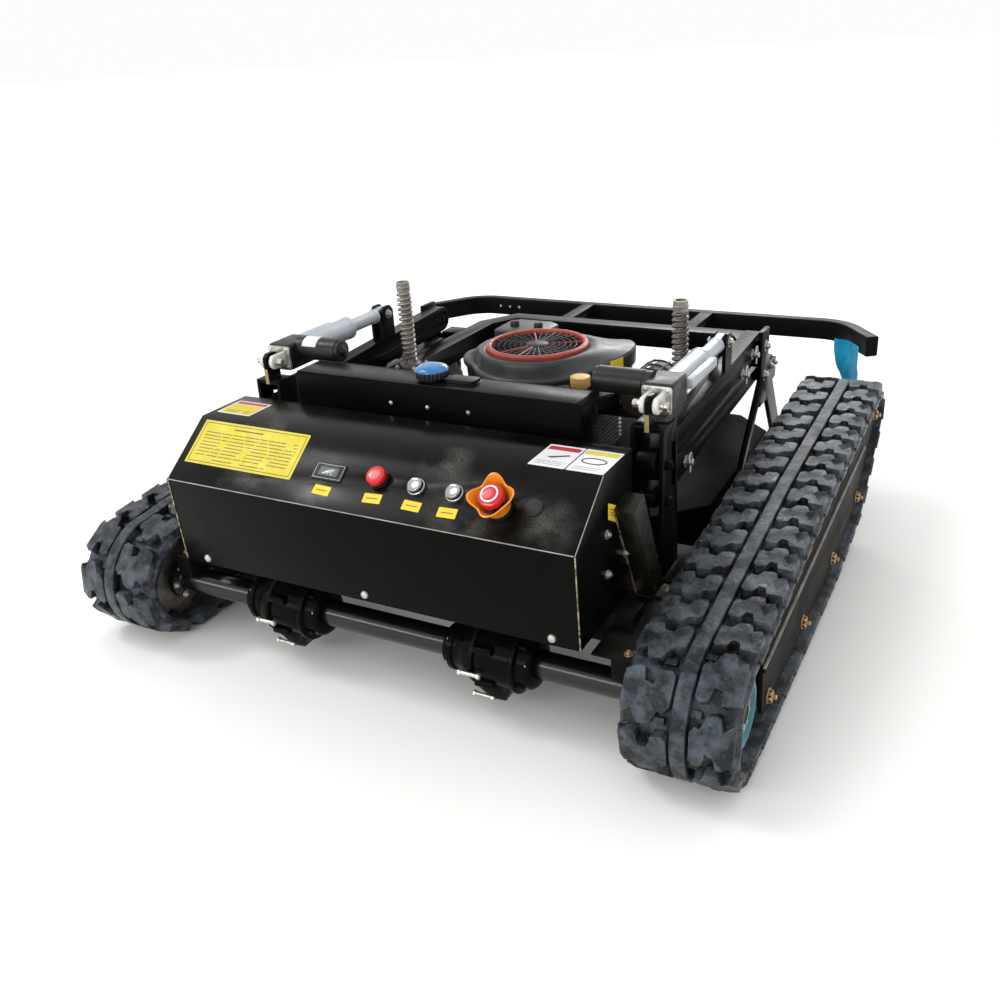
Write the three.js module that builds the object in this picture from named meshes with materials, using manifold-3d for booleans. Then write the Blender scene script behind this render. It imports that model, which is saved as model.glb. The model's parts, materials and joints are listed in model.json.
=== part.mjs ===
// Tracked chassis of a remote-controlled slope mower, in millimetres.
// +Z is up and +Y is forwards, towards the bumper. The control panel is at the rear, and left is -X.
// Inside this file Y is counted from the rear axle; the whole machine is shifted at the end, so that
// the origin is the middle of its base.
import * as THREE from "three";
import { mergeVertices } from "three/addons/utils/BufferGeometryUtils.js";
import Module from "manifold-3d";

const wasm = await Module();
wasm.setup();

// ---------------------------------------------------------------- driving dimensions

const GAP = 0.4; // clearance between pieces that touch
const ROLL = 1.2; // radial clearance of a wheel inside its track
const RUN = 0.5; // radial clearance of a pin in its hole
const SIDES = [["left", -1], ["right", 1]];

// Rubber track: a flat carcass with a raised middle band and two staggered rows of lugs.
const TRACK = { inner: 394.5, width: 150, carcass: 12, lug: 16, pitch: 60 };
const OUTER = TRACK.inner + TRACK.width;
const SHELL = TRACK.carcass + TRACK.lug;
const BAND = [464.5, 484.5];
const LUG = { length: 30, inset: 4, sag: 1.8 };

// Wheels inside a track, anticlockwise seen from +X: [y, z, radius].
const WHEELS = {
  sprocket: [0, 98.4, 70.4],
  roller_1: [105, 58, 30],
  roller_2: [305, 58, 30],
  roller_3: [520, 58, 30],
  roller_4: [725, 83, 30],
  idler: [858, 197, 34],
  skid: [400, 180, 30],
};
const FREE_WHEELS = ["roller_1", "roller_2", "roller_3", "roller_4", "idler"];
const WHEEL_X = [424, 522];
const INNER_PLATE = [412, 418];
const OUTER_PLATE = [528, 534];
const PLATE_CORNERS = [[90, 60, 18], [520, 60, 18], [725, 85, 18], [858, 197, 26], [400, 180, 23],
  [85, 142, 18]]; // rounded corners of a side plate, as [y, z, radius]
const PIN = 8;
const BOLT = { radius: 9, head: 6 };
const RIB = 3.5; // height of the rib along the outer plate
const TEETH = 8;
const VALLEY = 58; // radius between two sprocket teeth
const RING = { outer: 44, inner: 36, hub: 16, proud: 9, dish: 10 }; // on the sprocket's outer face

// Rear axle: a fixed tube with a drive shaft in each half and a gear motor on each side.
const AXLE = { y: 0, z: WHEELS.sprocket[1], tube: 20, bore: 14, shaft: 12, end: 410, shaftStart: 190 };
const GEAR = { from: 108, to: 248 };

// Main frame: two rails with cross members between them.
const RAIL = { x: [362, 390], y: [-24, 640], z: [122, 150] };
const FLOOR_TOP = 154;

// Control box: a folded shell seen from the side as [y, z], open at the back.
const BOX = { half: 332.3, wall: 4, bottom: 170, top: 378.1, back: 130 };
const BOX_PROFILE = [[-50, BOX.bottom], [-57.3, 309.1], [33.6, BOX.top], [BOX.back, BOX.top],
  [BOX.back, BOX.bottom]];
const SLOPE_FOOT = BOX_PROFILE[1];
const SLOPE_ANGLE = Math.atan2(BOX.top - SLOPE_FOOT[1], BOX_PROFILE[2][0] - SLOPE_FOOT[0]);

// Fuel tank with its filler.
const TANK = { half: 247, y: [158, 215], z: [246.5, 421] };
const FILLER = { x: -9, y: 188, neck: 20, cap: 25, top: 441 };

// Lifting linkage: two upper arms and two lower links of equal length, as [y, z] pivots.
const ARM_REAR = [200, 330];
const ARM_FRONT = [716, 356];
const LINK_DROP = 55;
const LINK_REAR = [ARM_REAR[0], ARM_REAR[1] - LINK_DROP];
const LINK_FRONT = [ARM_FRONT[0], ARM_FRONT[1] - LINK_DROP];
const ARM = { x: [318, 346], half: 24 };
const LINK = { x: [322, 342], half: 13 };
const BRACKET = { inner: [308, 314], outer: [350, 356], footEnd: 386, y: [180, 250], top: 386 };

// Linear actuators, one over each arm.
const ACT = { x: 332, pin: [201, 415], rodPin: [523, 415], pinRadius: 6, z: 415 };

// Deck, its frame and the bumper.
const FRAME = { x: [276, 314], z: [275, 315], rear: 480, corner: 860, front: 943 };
const DECK = { half: 349, y: [290, 860], z: [70, 165], wall: 5, frontCorner: 70, rearCorner: 140 };
const LEG = [349.5, 357.5];
const BUMPER = { y: [1060, 1085], corner: 440, tip: [518, 975], tie: [126, 154], tieBottom: 300 };
const POST = { x: 268, y: 510, rod: 8, cap: 13, top: 482 };

// Engine, with its crankshaft on the line [x, y].
const CRANK = { x: 0, y: 520, shaft: 12, bore: 13 };
const ENGINE = { block: [165.5, 288], housing: [288.5, 378], ring: 92, opening: 78 };
const OIL_CAP = { x: 125, y: 425, radius: 17 };

// ---------------------------------------------------------------- materials

function paint(color, roughness, metalness) {
  return new THREE.MeshStandardMaterial({ color, roughness, metalness });
}
const BLACK = paint(0x141415, 0.35, 0.4);
const RUBBER = paint(0x3a3d42, 0.85, 0.0);
const STEEL = paint(0xb9bcc0, 0.35, 0.9);
const SILVER = paint(0xcfd3d6, 0.4, 0.6);
const PLASTIC = paint(0x2b2c2f, 0.55, 0.0);
const TEAL = paint(0x2f7f86, 0.5, 0.1);
const RED = paint(0xd1202b, 0.35, 0.0);
const ORANGE = paint(0xf08a1d, 0.45, 0.0);
const BLUE = paint(0x1d82c8, 0.3, 0.0);
const YELLOW = paint(0xe3b45a, 0.5, 0.0);

// ---------------------------------------------------------------- solids

// The local z axis of an extruded outline is turned to the named axis. The outline's own two
// coordinates are then (y, z) for "x", (x, z) for "y" and (x, y) for "z".
const X = new THREE.Vector3(1, 0, 0);
const Y = new THREE.Vector3(0, 1, 0);
const Z = new THREE.Vector3(0, 0, 1);
const TURN = {
  x: new THREE.Matrix4().makeBasis(Y, Z, X),
  y: new THREE.Matrix4().makeBasis(X, Z, Y.clone().negate()),
  z: new THREE.Matrix4(),
};

function solid(geometry) {
  geometry.deleteAttribute("normal");
  geometry.deleteAttribute("uv");
  const merged = mergeVertices(geometry, 1e-4);
  const vertProperties = Float32Array.from(merged.attributes.position.array);
  const triVerts = Uint32Array.from(merged.index.array);
  return new wasm.Manifold(new wasm.Mesh({ numProp: 3, vertProperties, triVerts }));
}

function sorted(span) {
  return [Math.min(...span), Math.max(...span)];
}

function along(axis, geometry, span) {
  const [low, high] = sorted(span);
  geometry.translate(0, 0, axis === "y" ? -high : low);
  geometry.applyMatrix4(TURN[axis]);
  return solid(geometry);
}

function box(x, y, z) {
  const [x0, x1] = sorted(x);
  const [y0, y1] = sorted(y);
  const [z0, z1] = sorted(z);
  const geometry = new THREE.BoxGeometry(x1 - x0, y1 - y0, z1 - z0);
  geometry.translate((x0 + x1) / 2, (y0 + y1) / 2, (z0 + z1) / 2);
  return solid(geometry);
}

function bar(axis, centre, radius, span, facets = 16) {
  const [low, high] = sorted(span);
  const geometry = new THREE.CylinderGeometry(radius, radius, high - low, facets);
  geometry.rotateX(Math.PI / 2);
  geometry.translate(centre[0], centre[1], (high - low) / 2);
  return along(axis, geometry, span);
}

function plate(axis, outline, span, holes = []) {
  const shape = new THREE.Shape(outline.map(([u, v]) => new THREE.Vector2(u, v)));
  for (const [u, v, radius] of holes) {
    const hole = new THREE.Path();
    hole.absarc(u, v, radius, 0, 2 * Math.PI);
    shape.holes.push(hole);
  }
  const [low, high] = sorted(span);
  const options = { depth: high - low, bevelEnabled: false, curveSegments: 7 };
  return along(axis, new THREE.ExtrudeGeometry(shape, options), span);
}

// A turned piece: the profile is [radius, distance along the axis] and closes on the axis.
function turned(axis, centre, profile, facets = 18) {
  const points = profile.map(([radius, distance]) => new THREE.Vector2(radius, distance));
  const geometry = new THREE.LatheGeometry(points, facets);
  geometry.rotateX(Math.PI / 2);
  geometry.translate(centre[0], centre[1], 0);
  geometry.applyMatrix4(TURN[axis]);
  return solid(geometry);
}

function join(...solids) {
  return solids.reduce((whole, next) => whole.add(next));
}

function cut(whole, ...tools) {
  return tools.reduce((rest, tool) => rest.subtract(tool), whole);
}

// The span from a to b on one side of the machine.
function on(side, [a, b]) {
  return sorted([side * a, side * b]);
}

// ---------------------------------------------------------------- scene graph

const machine = new THREE.Group();

function piece(name, body, material) {
  const data = body.getMesh();
  const geometry = new THREE.BufferGeometry();
  geometry.setAttribute("position", new THREE.BufferAttribute(data.vertProperties, 3));
  geometry.setIndex(new THREE.BufferAttribute(data.triVerts, 1));
  geometry.computeVertexNormals();
  const mesh = new THREE.Mesh(geometry, material);
  mesh.name = name;
  machine.add(mesh);
}

// ---------------------------------------------------------------- paths round wheels

// The tight loop round a row of wheels, grown outwards, as arcs and the straight runs between them.
function loopRound(wheels, grow) {
  const normals = wheels.map(([y, z, radius], i) => {
    const [nextY, nextZ, nextRadius] = wheels[(i + 1) % wheels.length];
    const heading = Math.atan2(nextZ - z, nextY - y);
    const lean = Math.asin((radius - nextRadius) / Math.hypot(nextY - y, nextZ - z));
    return heading - Math.PI / 2 + lean;
  });
  const runs = [];
  wheels.forEach(([y, z, radius], i) => {
    const start = normals[(i + wheels.length - 1) % wheels.length];
    const turn = ((normals[i] - start) % (2 * Math.PI) + 2 * Math.PI) % (2 * Math.PI);
    const reach = radius + grow;
    const [nextY, nextZ, nextRadius] = wheels[(i + 1) % wheels.length];
    const run = Math.sqrt((nextY - y) ** 2 + (nextZ - z) ** 2 - (radius - nextRadius) ** 2);
    runs.push({ y, z, reach, start, turn, length: reach * turn });
    runs.push({ y, z, reach, start: normals[i], turn: 0, length: run });
  });
  return runs;
}

function pointOn(run, distance) {
  const angle = run.start + (run.turn > 0 ? distance / run.reach : 0);
  const step = run.turn > 0 ? 0 : distance;
  const y = run.y + run.reach * Math.cos(angle) - step * Math.sin(angle);
  const z = run.z + run.reach * Math.sin(angle) + step * Math.cos(angle);
  return { y, z, angle };
}

function loopOutline(wheels, grow, stepAngle = Math.PI / 10) {
  const outline = [];
  for (const run of loopRound(wheels, grow).filter(({ turn }) => turn > 0)) {
    const steps = Math.max(1, Math.ceil(run.turn / stepAngle));
    for (let i = 0; i <= steps; i += 1) {
      const { y, z } = pointOn(run, (run.length * i) / steps);
      outline.push([y, z]);
    }
  }
  return outline;
}

// Places spaced evenly along the loop, starting at a fraction of one step.
function placesOn(wheels, grow, count, phase) {
  const runs = loopRound(wheels, grow);
  const total = runs.reduce((sum, { length }) => sum + length, 0);
  const places = [];
  for (let i = 0; i < count; i += 1) {
    let distance = ((i + phase) * total) / count;
    const run = runs.find(({ length }) => {
      distance -= length;
      return distance < 0;
    });
    places.push({ ...pointOn(run, distance + run.length), bends: run.turn > 0 });
  }
  return places;
}

// ---------------------------------------------------------------- tracks

const LOOP = Object.values(WHEELS);

function lugCount() {
  const length = loopRound(LOOP, TRACK.carcass / 2).reduce((sum, run) => sum + run.length, 0);
  return Math.round(length / TRACK.pitch);
}

function lugAt(place, x) {
  const height = TRACK.lug - (place.bends ? LUG.sag : 0);
  const root = -3;
  const geometry = new THREE.BoxGeometry(x[1] - x[0], LUG.length, height - root);
  geometry.translate((x[0] + x[1]) / 2, 0, (height + root) / 2);
  geometry.rotateX(place.angle - Math.PI / 2);
  geometry.translate(0, place.y, place.z);
  return solid(geometry);
}

function track(side) {
  const inside = loopOutline(LOOP, 0, Math.PI / 16);
  const carcass = plate("x", loopOutline(LOOP, TRACK.carcass), on(side, [TRACK.inner, OUTER]));
  const band = plate("x", loopOutline(LOOP, SHELL), on(side, BAND));
  const hollow = plate("x", inside, on(side, [TRACK.inner - 1, OUTER + 1]));
  const rows = [[TRACK.inner + LUG.inset, BAND[0] + 1], [BAND[1] - 1, OUTER - LUG.inset]];
  const lugs = rows.flatMap((row, i) =>
    placesOn(LOOP, TRACK.carcass, lugCount(), i / 2).map((place) => lugAt(place, on(side, row))));
  return cut(join(carcass, band, ...lugs), hollow);
}

// Two side plates joined by the wheel pins, a web and the skid that carries the upper run.
function trackFrame(side) {
  const outline = loopOutline(PLATE_CORNERS, 0, Math.PI / 5);
  const plates = [INNER_PLATE, OUTER_PLATE].map((x) => plate("x", outline, on(side, x)));
  const gapX = on(side, [INNER_PLATE[1] - 1, OUTER_PLATE[0] + 1]);
  const outside = OUTER_PLATE[1];
  const pins = FREE_WHEELS.map((name) => bar("x", WHEELS[name], PIN, gapX, 16));
  const bolts = FREE_WHEELS.map((name) =>
    bar("x", WHEELS[name], BOLT.radius, on(side, [outside - 1, outside + BOLT.head]), 6));
  const web = box(gapX, [110, 700], [126, 142]);
  const [skidY, skidZ, skidRadius] = WHEELS.skid;
  const skid = bar("x", [skidY, skidZ], skidRadius - ROLL, gapX);
  const rib = plate("x", [[66, 119], [760, 161], [760, 168], [66, 126]],
    on(side, [outside - 1, outside + RIB]));
  return join(...plates, ...pins, ...bolts, web, skid, rib);
}

function wheel(side, name) {
  const [y, z, radius] = WHEELS[name];
  const bore = bar("x", [y, z], PIN + RUN, on(side, [WHEEL_X[0] - 1, WHEEL_X[1] + 1]), 12);
  return cut(bar("x", [y, z], radius - ROLL, on(side, WHEEL_X)), bore);
}

function sprocket(side) {
  const [y, z, radius] = WHEELS.sprocket;
  const outline = [];
  for (let i = 0; i < TEETH; i += 1) {
    const tip = radius - ROLL;
    for (const [turn, reach] of [[-0.18, tip], [0.18, tip], [0.3, VALLEY], [0.485, VALLEY]]) {
      const angle = (i * 2 * Math.PI) / TEETH + turn;
      outline.push([y + reach * Math.cos(angle), z + reach * Math.sin(angle)]);
    }
  }
  const drum = plate("x", outline, on(side, WHEEL_X));
  const face = WHEEL_X[1];
  const collar = bar("x", [y, z], RING.outer, on(side, [face - 1, face + RING.proud]), 20);
  const dish = bar("x", [y, z], RING.inner, on(side, [face - RING.dish, face + RING.proud + 1]), 20);
  const hub = bar("x", [y, z], RING.hub, on(side, [face - RING.dish - 1, face + RING.proud - 1]), 16);
  const shaft = bar("x", [y, z], AXLE.shaft, on(side, [AXLE.shaftStart, WHEEL_X[0] + 1]), 12);
  return join(cut(join(drum, collar), dish), hub, shaft);
}

function buildTracks() {
  for (const [name, side] of SIDES) {
    piece(`track_${name}`, track(side), RUBBER);
    piece(`track_frame_${name}`, trackFrame(side), BLACK);
    piece(`sprocket_${name}`, sprocket(side), TEAL);
    for (const freeWheel of FREE_WHEELS) {
      piece(`${freeWheel}_${name}`, wheel(side, freeWheel), STEEL);
    }
  }
}

// ---------------------------------------------------------------- rear axle

function axleTube() {
  const centre = [AXLE.y, AXLE.z];
  const tube = bar("x", centre, AXLE.tube, [-AXLE.end, AXLE.end], 18);
  const flanges = SIDES.map(([, side]) => bar("x", centre, 34, on(side, [398, AXLE.end]), 18));
  const bore = bar("x", centre, AXLE.bore, [-AXLE.end - 1, AXLE.end + 1], 16);
  return cut(join(tube, ...flanges), bore);
}

// A turned housing round the fixed tube, with a sump below: [radius, distance from the inner end].
function gearHousing(side) {
  const centre = [AXLE.y, AXLE.z];
  const steps = [[0, 0], [30, 0], [30, 14], [42, 44], [42, 112], [48, 112], [48, 122], [40, 122],
    [40, 140], [0, 140]];
  const profile = steps.map(([radius, distance]) => [radius, side * (GEAR.from + distance)]);
  const housing = turned("x", centre, side > 0 ? profile : profile.reverse());
  const sumpOutline = [[-40, 84], [-12, 28], [12, 28], [40, 84]];
  const sump = plate("x", sumpOutline, on(side, [GEAR.from + 44, GEAR.from + 100]));
  const bore = bar("x", centre, AXLE.tube + GAP, on(side, [GEAR.from - 1, GEAR.to + 1]), 18);
  return cut(join(housing, sump), bore);
}

// ---------------------------------------------------------------- main frame and control box

function mainFrame() {
  const saddleZ = [AXLE.z + AXLE.tube + GAP, RAIL.z[0] + 1];
  const pieces = [];
  for (const [, side] of SIDES) {
    const x = on(side, RAIL.x);
    pieces.push(box(x, RAIL.y, RAIL.z));
    pieces.push(box(x, [-24, 24], saddleZ));
    pieces.push(box(on(side, [RAIL.x[0], 392]), [250, RAIL.y[1]], [RAIL.z[1] - 1, FLOOR_TOP]));
    for (const y of [190, 570]) {
      pieces.push(box(on(side, [RAIL.x[1] - 1, INNER_PLATE[0] - GAP]), [y, y + 40], [124, 148]));
    }
    pieces.push(box(on(side, [226, 250]), [170, 200], [149, TANK.z[0] - GAP]));
  }
  const inside = [-RAIL.x[0] - 1, RAIL.x[0] + 1];
  pieces.push(box(inside, [52, 92], [RAIL.z[0], BOX.bottom - GAP]));
  pieces.push(box(inside, [150, 210], RAIL.z));
  return join(...pieces);
}

function controlBox() {
  const inner = [[-46, 174], [-53, 307], [35.2, 374.1], [BOX.back + 1, 374.1], [BOX.back + 1, 174]];
  const shell = cut(plate("x", BOX_PROFILE, [-BOX.half, BOX.half]),
    plate("x", inner, [-BOX.half + BOX.wall, BOX.half - BOX.wall]));
  const holes = PANEL.map(({ x, s, stem }) => slopeHole(x, s, stem + RUN));
  return cut(shell, ...holes);
}

function boxBack() {
  const half = BOX.half - BOX.wall - GAP;
  return box([-half, half], [BOX.back - 5, BOX.back - 1], [174 + GAP, 374.1 - GAP]);
}

function battery() {
  return box([-250, -80], [-20, 90], [174 + GAP, 290]);
}

function brace(side) {
  const strut = plate("x", [[62, 318], [98, 330], [177, 152], [140, 152]], on(side, [BOX.half + GAP, 361]));
  const foot = box(on(side, [BOX.half + GAP, 388]), [138, 177], [RAIL.z[1] + GAP, 156]);
  return join(strut, foot);
}

function tank() {
  const profile = [[-TANK.half, TANK.z[0]], [TANK.half, TANK.z[0]], [TANK.half, TANK.z[1] - 6],
    [TANK.half - 6, TANK.z[1]], [-TANK.half + 6, TANK.z[1]], [-TANK.half, TANK.z[1] - 6]];
  const neck = bar("z", [FILLER.x, FILLER.y], FILLER.neck, [TANK.z[1] - 1, TANK.z[1] + 9]);
  const pad = box([24, 66], [172, 202], [TANK.z[1] - 1, TANK.z[1] + 5]);
  return join(plate("y", profile, TANK.y), neck, pad);
}

function fuelCap() {
  const centre = [FILLER.x, FILLER.y];
  const skirt = bar("z", centre, FILLER.cap, [TANK.z[1] + 3, FILLER.top - 5]);
  const dome = turned("z", centre, [[0, FILLER.top - 6], [FILLER.cap - 1, FILLER.top - 6],
    [FILLER.cap - 4, FILLER.top - 1], [0, FILLER.top]]);
  const hollow = bar("z", centre, FILLER.neck + RUN, [TANK.z[1], TANK.z[1] + 9 + GAP]);
  return cut(join(skirt, dome), hollow);
}

// ---------------------------------------------------------------- panel controls

// Places on the sloping panel: x across it and s up it from the front fold.
const PANEL = [
  { name: "red_button", x: 21, s: 58, stem: 8 },
  { name: "silver_button_left", x: 82.5, s: 55.7, stem: 6 },
  { name: "silver_button_right", x: 141.5, s: 55.7, stem: 6 },
  { name: "stop_button", x: 213, s: 45, stem: 8 },
];

function onSlope(body) {
  const turn = new THREE.Matrix4().makeRotationX(SLOPE_ANGLE);
  turn.setPosition(0, SLOPE_FOOT[0], SLOPE_FOOT[1]);
  return body.transform(turn.elements);
}

function slopeHole(x, s, radius) {
  return onSlope(bar("z", [x, s], radius, [-12, 6], 12));
}

function capButton({ x, s, stem }, radius, cap) {
  const head = bar("z", [x, s], radius, cap, 18);
  return onSlope(join(head, bar("z", [x, s], stem, [-16, cap[0] + 1], 12)));
}

// A flared cup round the button, on a narrow foot.
function stopGuard({ x, s }) {
  const cup = turned("z", [x, s], [[0, GAP], [15, GAP], [15, 12], [19, 16], [28, 36], [0, 36]], 16);
  const inside = turned("z", [x, s], [[0, 14], [15.5, 16.5], [25.2, 37], [0, 37]], 16);
  return onSlope(cut(cup, inside, bar("z", [x, s], 8 + 2 * RUN, [-1, 40], 16)));
}

function buildControls() {
  const [red, left, right, stop] = PANEL;
  piece(red.name, capButton(red, 14, [5, 16]), RED);
  piece(left.name, capButton(left, 10.5, [4.6, 9]), STEEL);
  piece(right.name, capButton(right, 10.5, [4.6, 9]), STEEL);
  piece(stop.name, capButton(stop, 17, [27, 41]), RED);
  piece("stop_guard", stopGuard(stop), ORANGE);
}

// ---------------------------------------------------------------- lifting linkage

function bracket(side) {
  const outline = [[BRACKET.y[0], 152], [BRACKET.y[1], 152], [BRACKET.y[1] - 10, BRACKET.top],
    [BRACKET.y[0] + 6, BRACKET.top]];
  const [inner, outer] = [BRACKET.inner, BRACKET.outer].map((x) => plate("x", outline, on(side, x)));
  const window = plate("x", [[216, 290], [238, 284], [236, 352], [216, 358]],
    on(side, [BRACKET.outer[0] - 1, BRACKET.outer[1] + 1]));
  const cap = box(on(side, [BRACKET.inner[0], BRACKET.outer[1]]), [186, 222], [BRACKET.top - 6, BRACKET.top]);
  const foot = box(on(side, [BRACKET.inner[0], BRACKET.footEnd]), BRACKET.y, [RAIL.z[1] + GAP, 158]);
  const pinX = on(side, [BRACKET.inner[1] - 1, BRACKET.outer[0] + 1]);
  const pins = [ARM_REAR, LINK_REAR].map((pivot) => bar("x", pivot, PIN, pinX, 12));
  const [pinY, pinZ] = ACT.pin;
  const eye = plate("x", [[pinY - 15, 380], [pinY + 15, 380], [pinY + 15, pinZ + 8], [pinY + 8, pinZ + 15],
    [pinY - 8, pinZ + 15], [pinY - 15, pinZ + 8]], on(side, [ACT.x - 3.5, ACT.x + 3.5]),
  [[pinY, pinZ, ACT.pinRadius + RUN]]);
  return join(inner, cut(outer, window), cap, foot, ...pins, eye);
}

function arm(side) {
  const outline = loopOutline([[...ARM_REAR, ARM.half], [...ARM_FRONT, ARM.half]], 0, Math.PI / 6);
  const holes = [ARM_REAR, ARM_FRONT].map(([y, z]) => [y, z, PIN + RUN]);
  const beam = plate("x", outline, on(side, ARM.x), holes);
  const [y, z] = ACT.rodPin;
  const ear = [[y - 18, z - 55], [y + 18, z - 55], [y + 18, z + 5], [y + 9, z + 15], [y - 9, z + 15],
    [y - 18, z + 5]];
  const cheeks = [[ARM.x[0], ARM.x[0] + 6], [ARM.x[1] - 6, ARM.x[1]]];
  const ears = cheeks.map((x) => plate("x", ear, on(side, x)));
  const pin = bar("x", [y, z], ACT.pinRadius, on(side, [ARM.x[0] + 5, ARM.x[1] - 5]), 12);
  return join(beam, ...ears, pin);
}

function lowerLink(side) {
  const outline = loopOutline([[...LINK_REAR, LINK.half], [...LINK_FRONT, LINK.half]], 0, Math.PI / 5);
  const holes = [LINK_REAR, LINK_FRONT].map(([y, z]) => [y, z, PIN + RUN]);
  return plate("x", outline, on(side, LINK.x), holes);
}

function leg(side) {
  const x = on(side, LEG);
  const [y, z] = ARM_FRONT;
  const post = plate("x", [[y - 22, z - 110], [y + 24, z - 110], [y + 24, z + 29], [y - 22, z + 29]], x);
  const front = plate("x", [[y - 16, z - 40], [y + 24, z - 20], [y + 144, 150], [y + 99, 150]], x);
  const rear = plate("x", [[y - 20, z - 60], [y - 20, z - 95], [590, 150], [565, 150]], x);
  const pins = [[ARM_FRONT, ARM.x[0]], [LINK_FRONT, LINK.x[0]]].map(([pivot, start]) =>
    bar("x", pivot, PIN, on(side, [start, LEG[0] + 1]), 12));
  const ear = box(on(side, [FRAME.x[1] + GAP, LEG[0] + 1]), [y + 42, y + 84], FRAME.z);
  const tab = plate("x", [[y + 10, z - 50], [y + 84, z - 44], [y + 84, z - 81], [y + 10, z - 90]], x);
  return join(post, front, rear, ...pins, ear, tab);
}

function actuatorBody(side) {
  const [pinY, pinZ] = ACT.pin;
  const x = (a, b) => on(side, [ACT.x + a, ACT.x + b]);
  const gearbox = box(x(-22.5, 22.5), [pinY + 25, pinY + 87], [ACT.z - 22, ACT.z + 22]);
  const lugs = [[-12, -6], [6, 12]].map(([a, b]) =>
    box(x(a, b), [pinY - 9, pinY + 26], [pinZ - 9, pinZ + 9]));
  const pin = bar("x", ACT.pin, ACT.pinRadius, x(-18, 18), 12);
  const tube = bar("y", [side * ACT.x, ACT.z], 20, [pinY + 86, 416], 18);
  const motor = bar("x", [258, ACT.z + 10], 19.5, on(side, [226, ACT.x - 22]), 18);
  const bore = bar("y", [side * ACT.x, ACT.z], 13, [pinY + 100, 420], 16);
  return cut(join(gearbox, ...lugs, pin, tube, motor), bore);
}

function actuatorRod(side) {
  const [y, z] = ACT.rodPin;
  const rod = bar("y", [side * ACT.x, ACT.z], 12, [340, y - 22], 16);
  const head = plate("x", loopOutline([[y - 24, z, 10], [y, z, 13]], 0, Math.PI / 6),
    on(side, [ACT.x - 6.5, ACT.x + 6.5]), [[y, z, ACT.pinRadius + 2]]);
  return join(rod, head);
}

function buildLinkage() {
  for (const [name, side] of SIDES) {
    piece(`lift_bracket_${name}`, bracket(side), BLACK);
    piece(`lift_arm_${name}`, arm(side), BLACK);
    piece(`lower_link_${name}`, lowerLink(side), BLACK);
    piece(`deck_leg_${name}`, leg(side), BLACK);
    piece(`actuator_body_${name}`, actuatorBody(side), SILVER);
    piece(`actuator_rod_${name}`, actuatorRod(side), SILVER);
  }
}

// ---------------------------------------------------------------- deck, frame and bumper

function mirrored(half) {
  return [...half, ...half.map(([x, y]) => [-x, y]).reverse()];
}

function deckFrame() {
  const [inner, outer] = FRAME.x;
  const outline = mirrored([[outer, FRAME.rear], [outer, FRAME.corner], [262, FRAME.front]]);
  const inside = mirrored([[inner, FRAME.rear - 1], [inner, FRAME.corner - 11], [244, FRAME.front - 38]]);
  const ring = cut(plate("z", outline, FRAME.z), plate("z", inside, [FRAME.z[0] - 1, FRAME.z[1] + 1]));
  const pads = SIDES.map(([, side]) =>
    box(on(side, [244, 304]), [POST.y - 28, POST.y + 28], [FRAME.z[1] - 6, FRAME.z[1] + 6]));
  const stays = SIDES.map(([, side]) =>
    box(on(side, [232, 244]), [800, FRAME.front - 30], [DECK.z[1] + GAP, FRAME.z[1] - 8]));
  return join(ring, ...pads, ...stays);
}

function bumper() {
  const [y0, y1] = BUMPER.y;
  const [tipX, tipY] = BUMPER.tip;
  const outer = [[BUMPER.corner, y1], [tipX, tipY]];
  const inner = [[tipX - 20, tipY - 12], [BUMPER.corner - 14, y0]];
  const rail = plate("z", mirrored([...inner.slice().reverse(), ...outer.slice().reverse()]), FRAME.z);
  const ties = SIDES.map(([, side]) =>
    box(on(side, BUMPER.tie), [FRAME.front + GAP, y0 + 1], [BUMPER.tieBottom, FRAME.z[1]]));
  return join(rail, ...ties);
}

// The rear corners are cut back further, to clear the lower links when the deck is raised.
function mowerDeck() {
  const { half, y, z, wall, frontCorner, rearCorner } = DECK;
  const plan = (inset) => mirrored([
    [half - rearCorner - inset, y[0] + inset], [half - inset, y[0] + rearCorner + inset],
    [half - inset, y[1] - frontCorner - inset], [half - frontCorner - inset, y[1] - inset]]);
  const hollow = plate("z", plan(wall), [z[0] - 1, z[1] - wall]);
  const shaftHole = bar("z", [CRANK.x, CRANK.y], 18, [z[1] - 10, z[1] + 1]);
  return cut(plate("z", plan(0), z), hollow, shaftHole);
}

function springPost(side) {
  const centre = [side * POST.x, POST.y];
  const foot = FRAME.z[1] + 6 + GAP;
  const flange = bar("z", centre, 20, [foot, foot + 6]);
  const rod = bar("z", centre, POST.rod, [foot, POST.top - 10], 12);
  const cap = bar("z", centre, POST.cap, [POST.top - 18, POST.top]);
  return join(flange, rod, cap);
}

function springSleeve(side) {
  const centre = [side * POST.x, POST.y];
  const span = [FRAME.z[1] + 13, POST.top - 18 - GAP];
  return cut(bar("z", centre, 14, span), bar("z", centre, POST.rod + RUN, [span[0] - 1, span[1] + 1], 12));
}

function buildDeck() {
  piece("deck_frame", deckFrame(), BLACK);
  piece("bumper", bumper(), BLACK);
  piece("mower_deck", mowerDeck(), BLACK);
  for (const [name, side] of SIDES) {
    piece(`spring_post_${name}`, springPost(side), STEEL);
    piece(`spring_${name}`, springSleeve(side), SILVER);
  }
}

// ---------------------------------------------------------------- engine

function engineBlock() {
  const [z0, z1] = ENGINE.block;
  const body = box([-105, 105], [440, 640], [z0, z1]);
  const neck = bar("z", [OIL_CAP.x, OIL_CAP.y], 12, [236, 348]);
  const elbow = box([96, OIL_CAP.x + 8], [OIL_CAP.y - 8, 442], [236, 262]);
  const bore = bar("z", [CRANK.x, CRANK.y], CRANK.bore, [z0 - 1, z1 + 1]);
  return cut(join(body, neck, elbow), bore);
}

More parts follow.
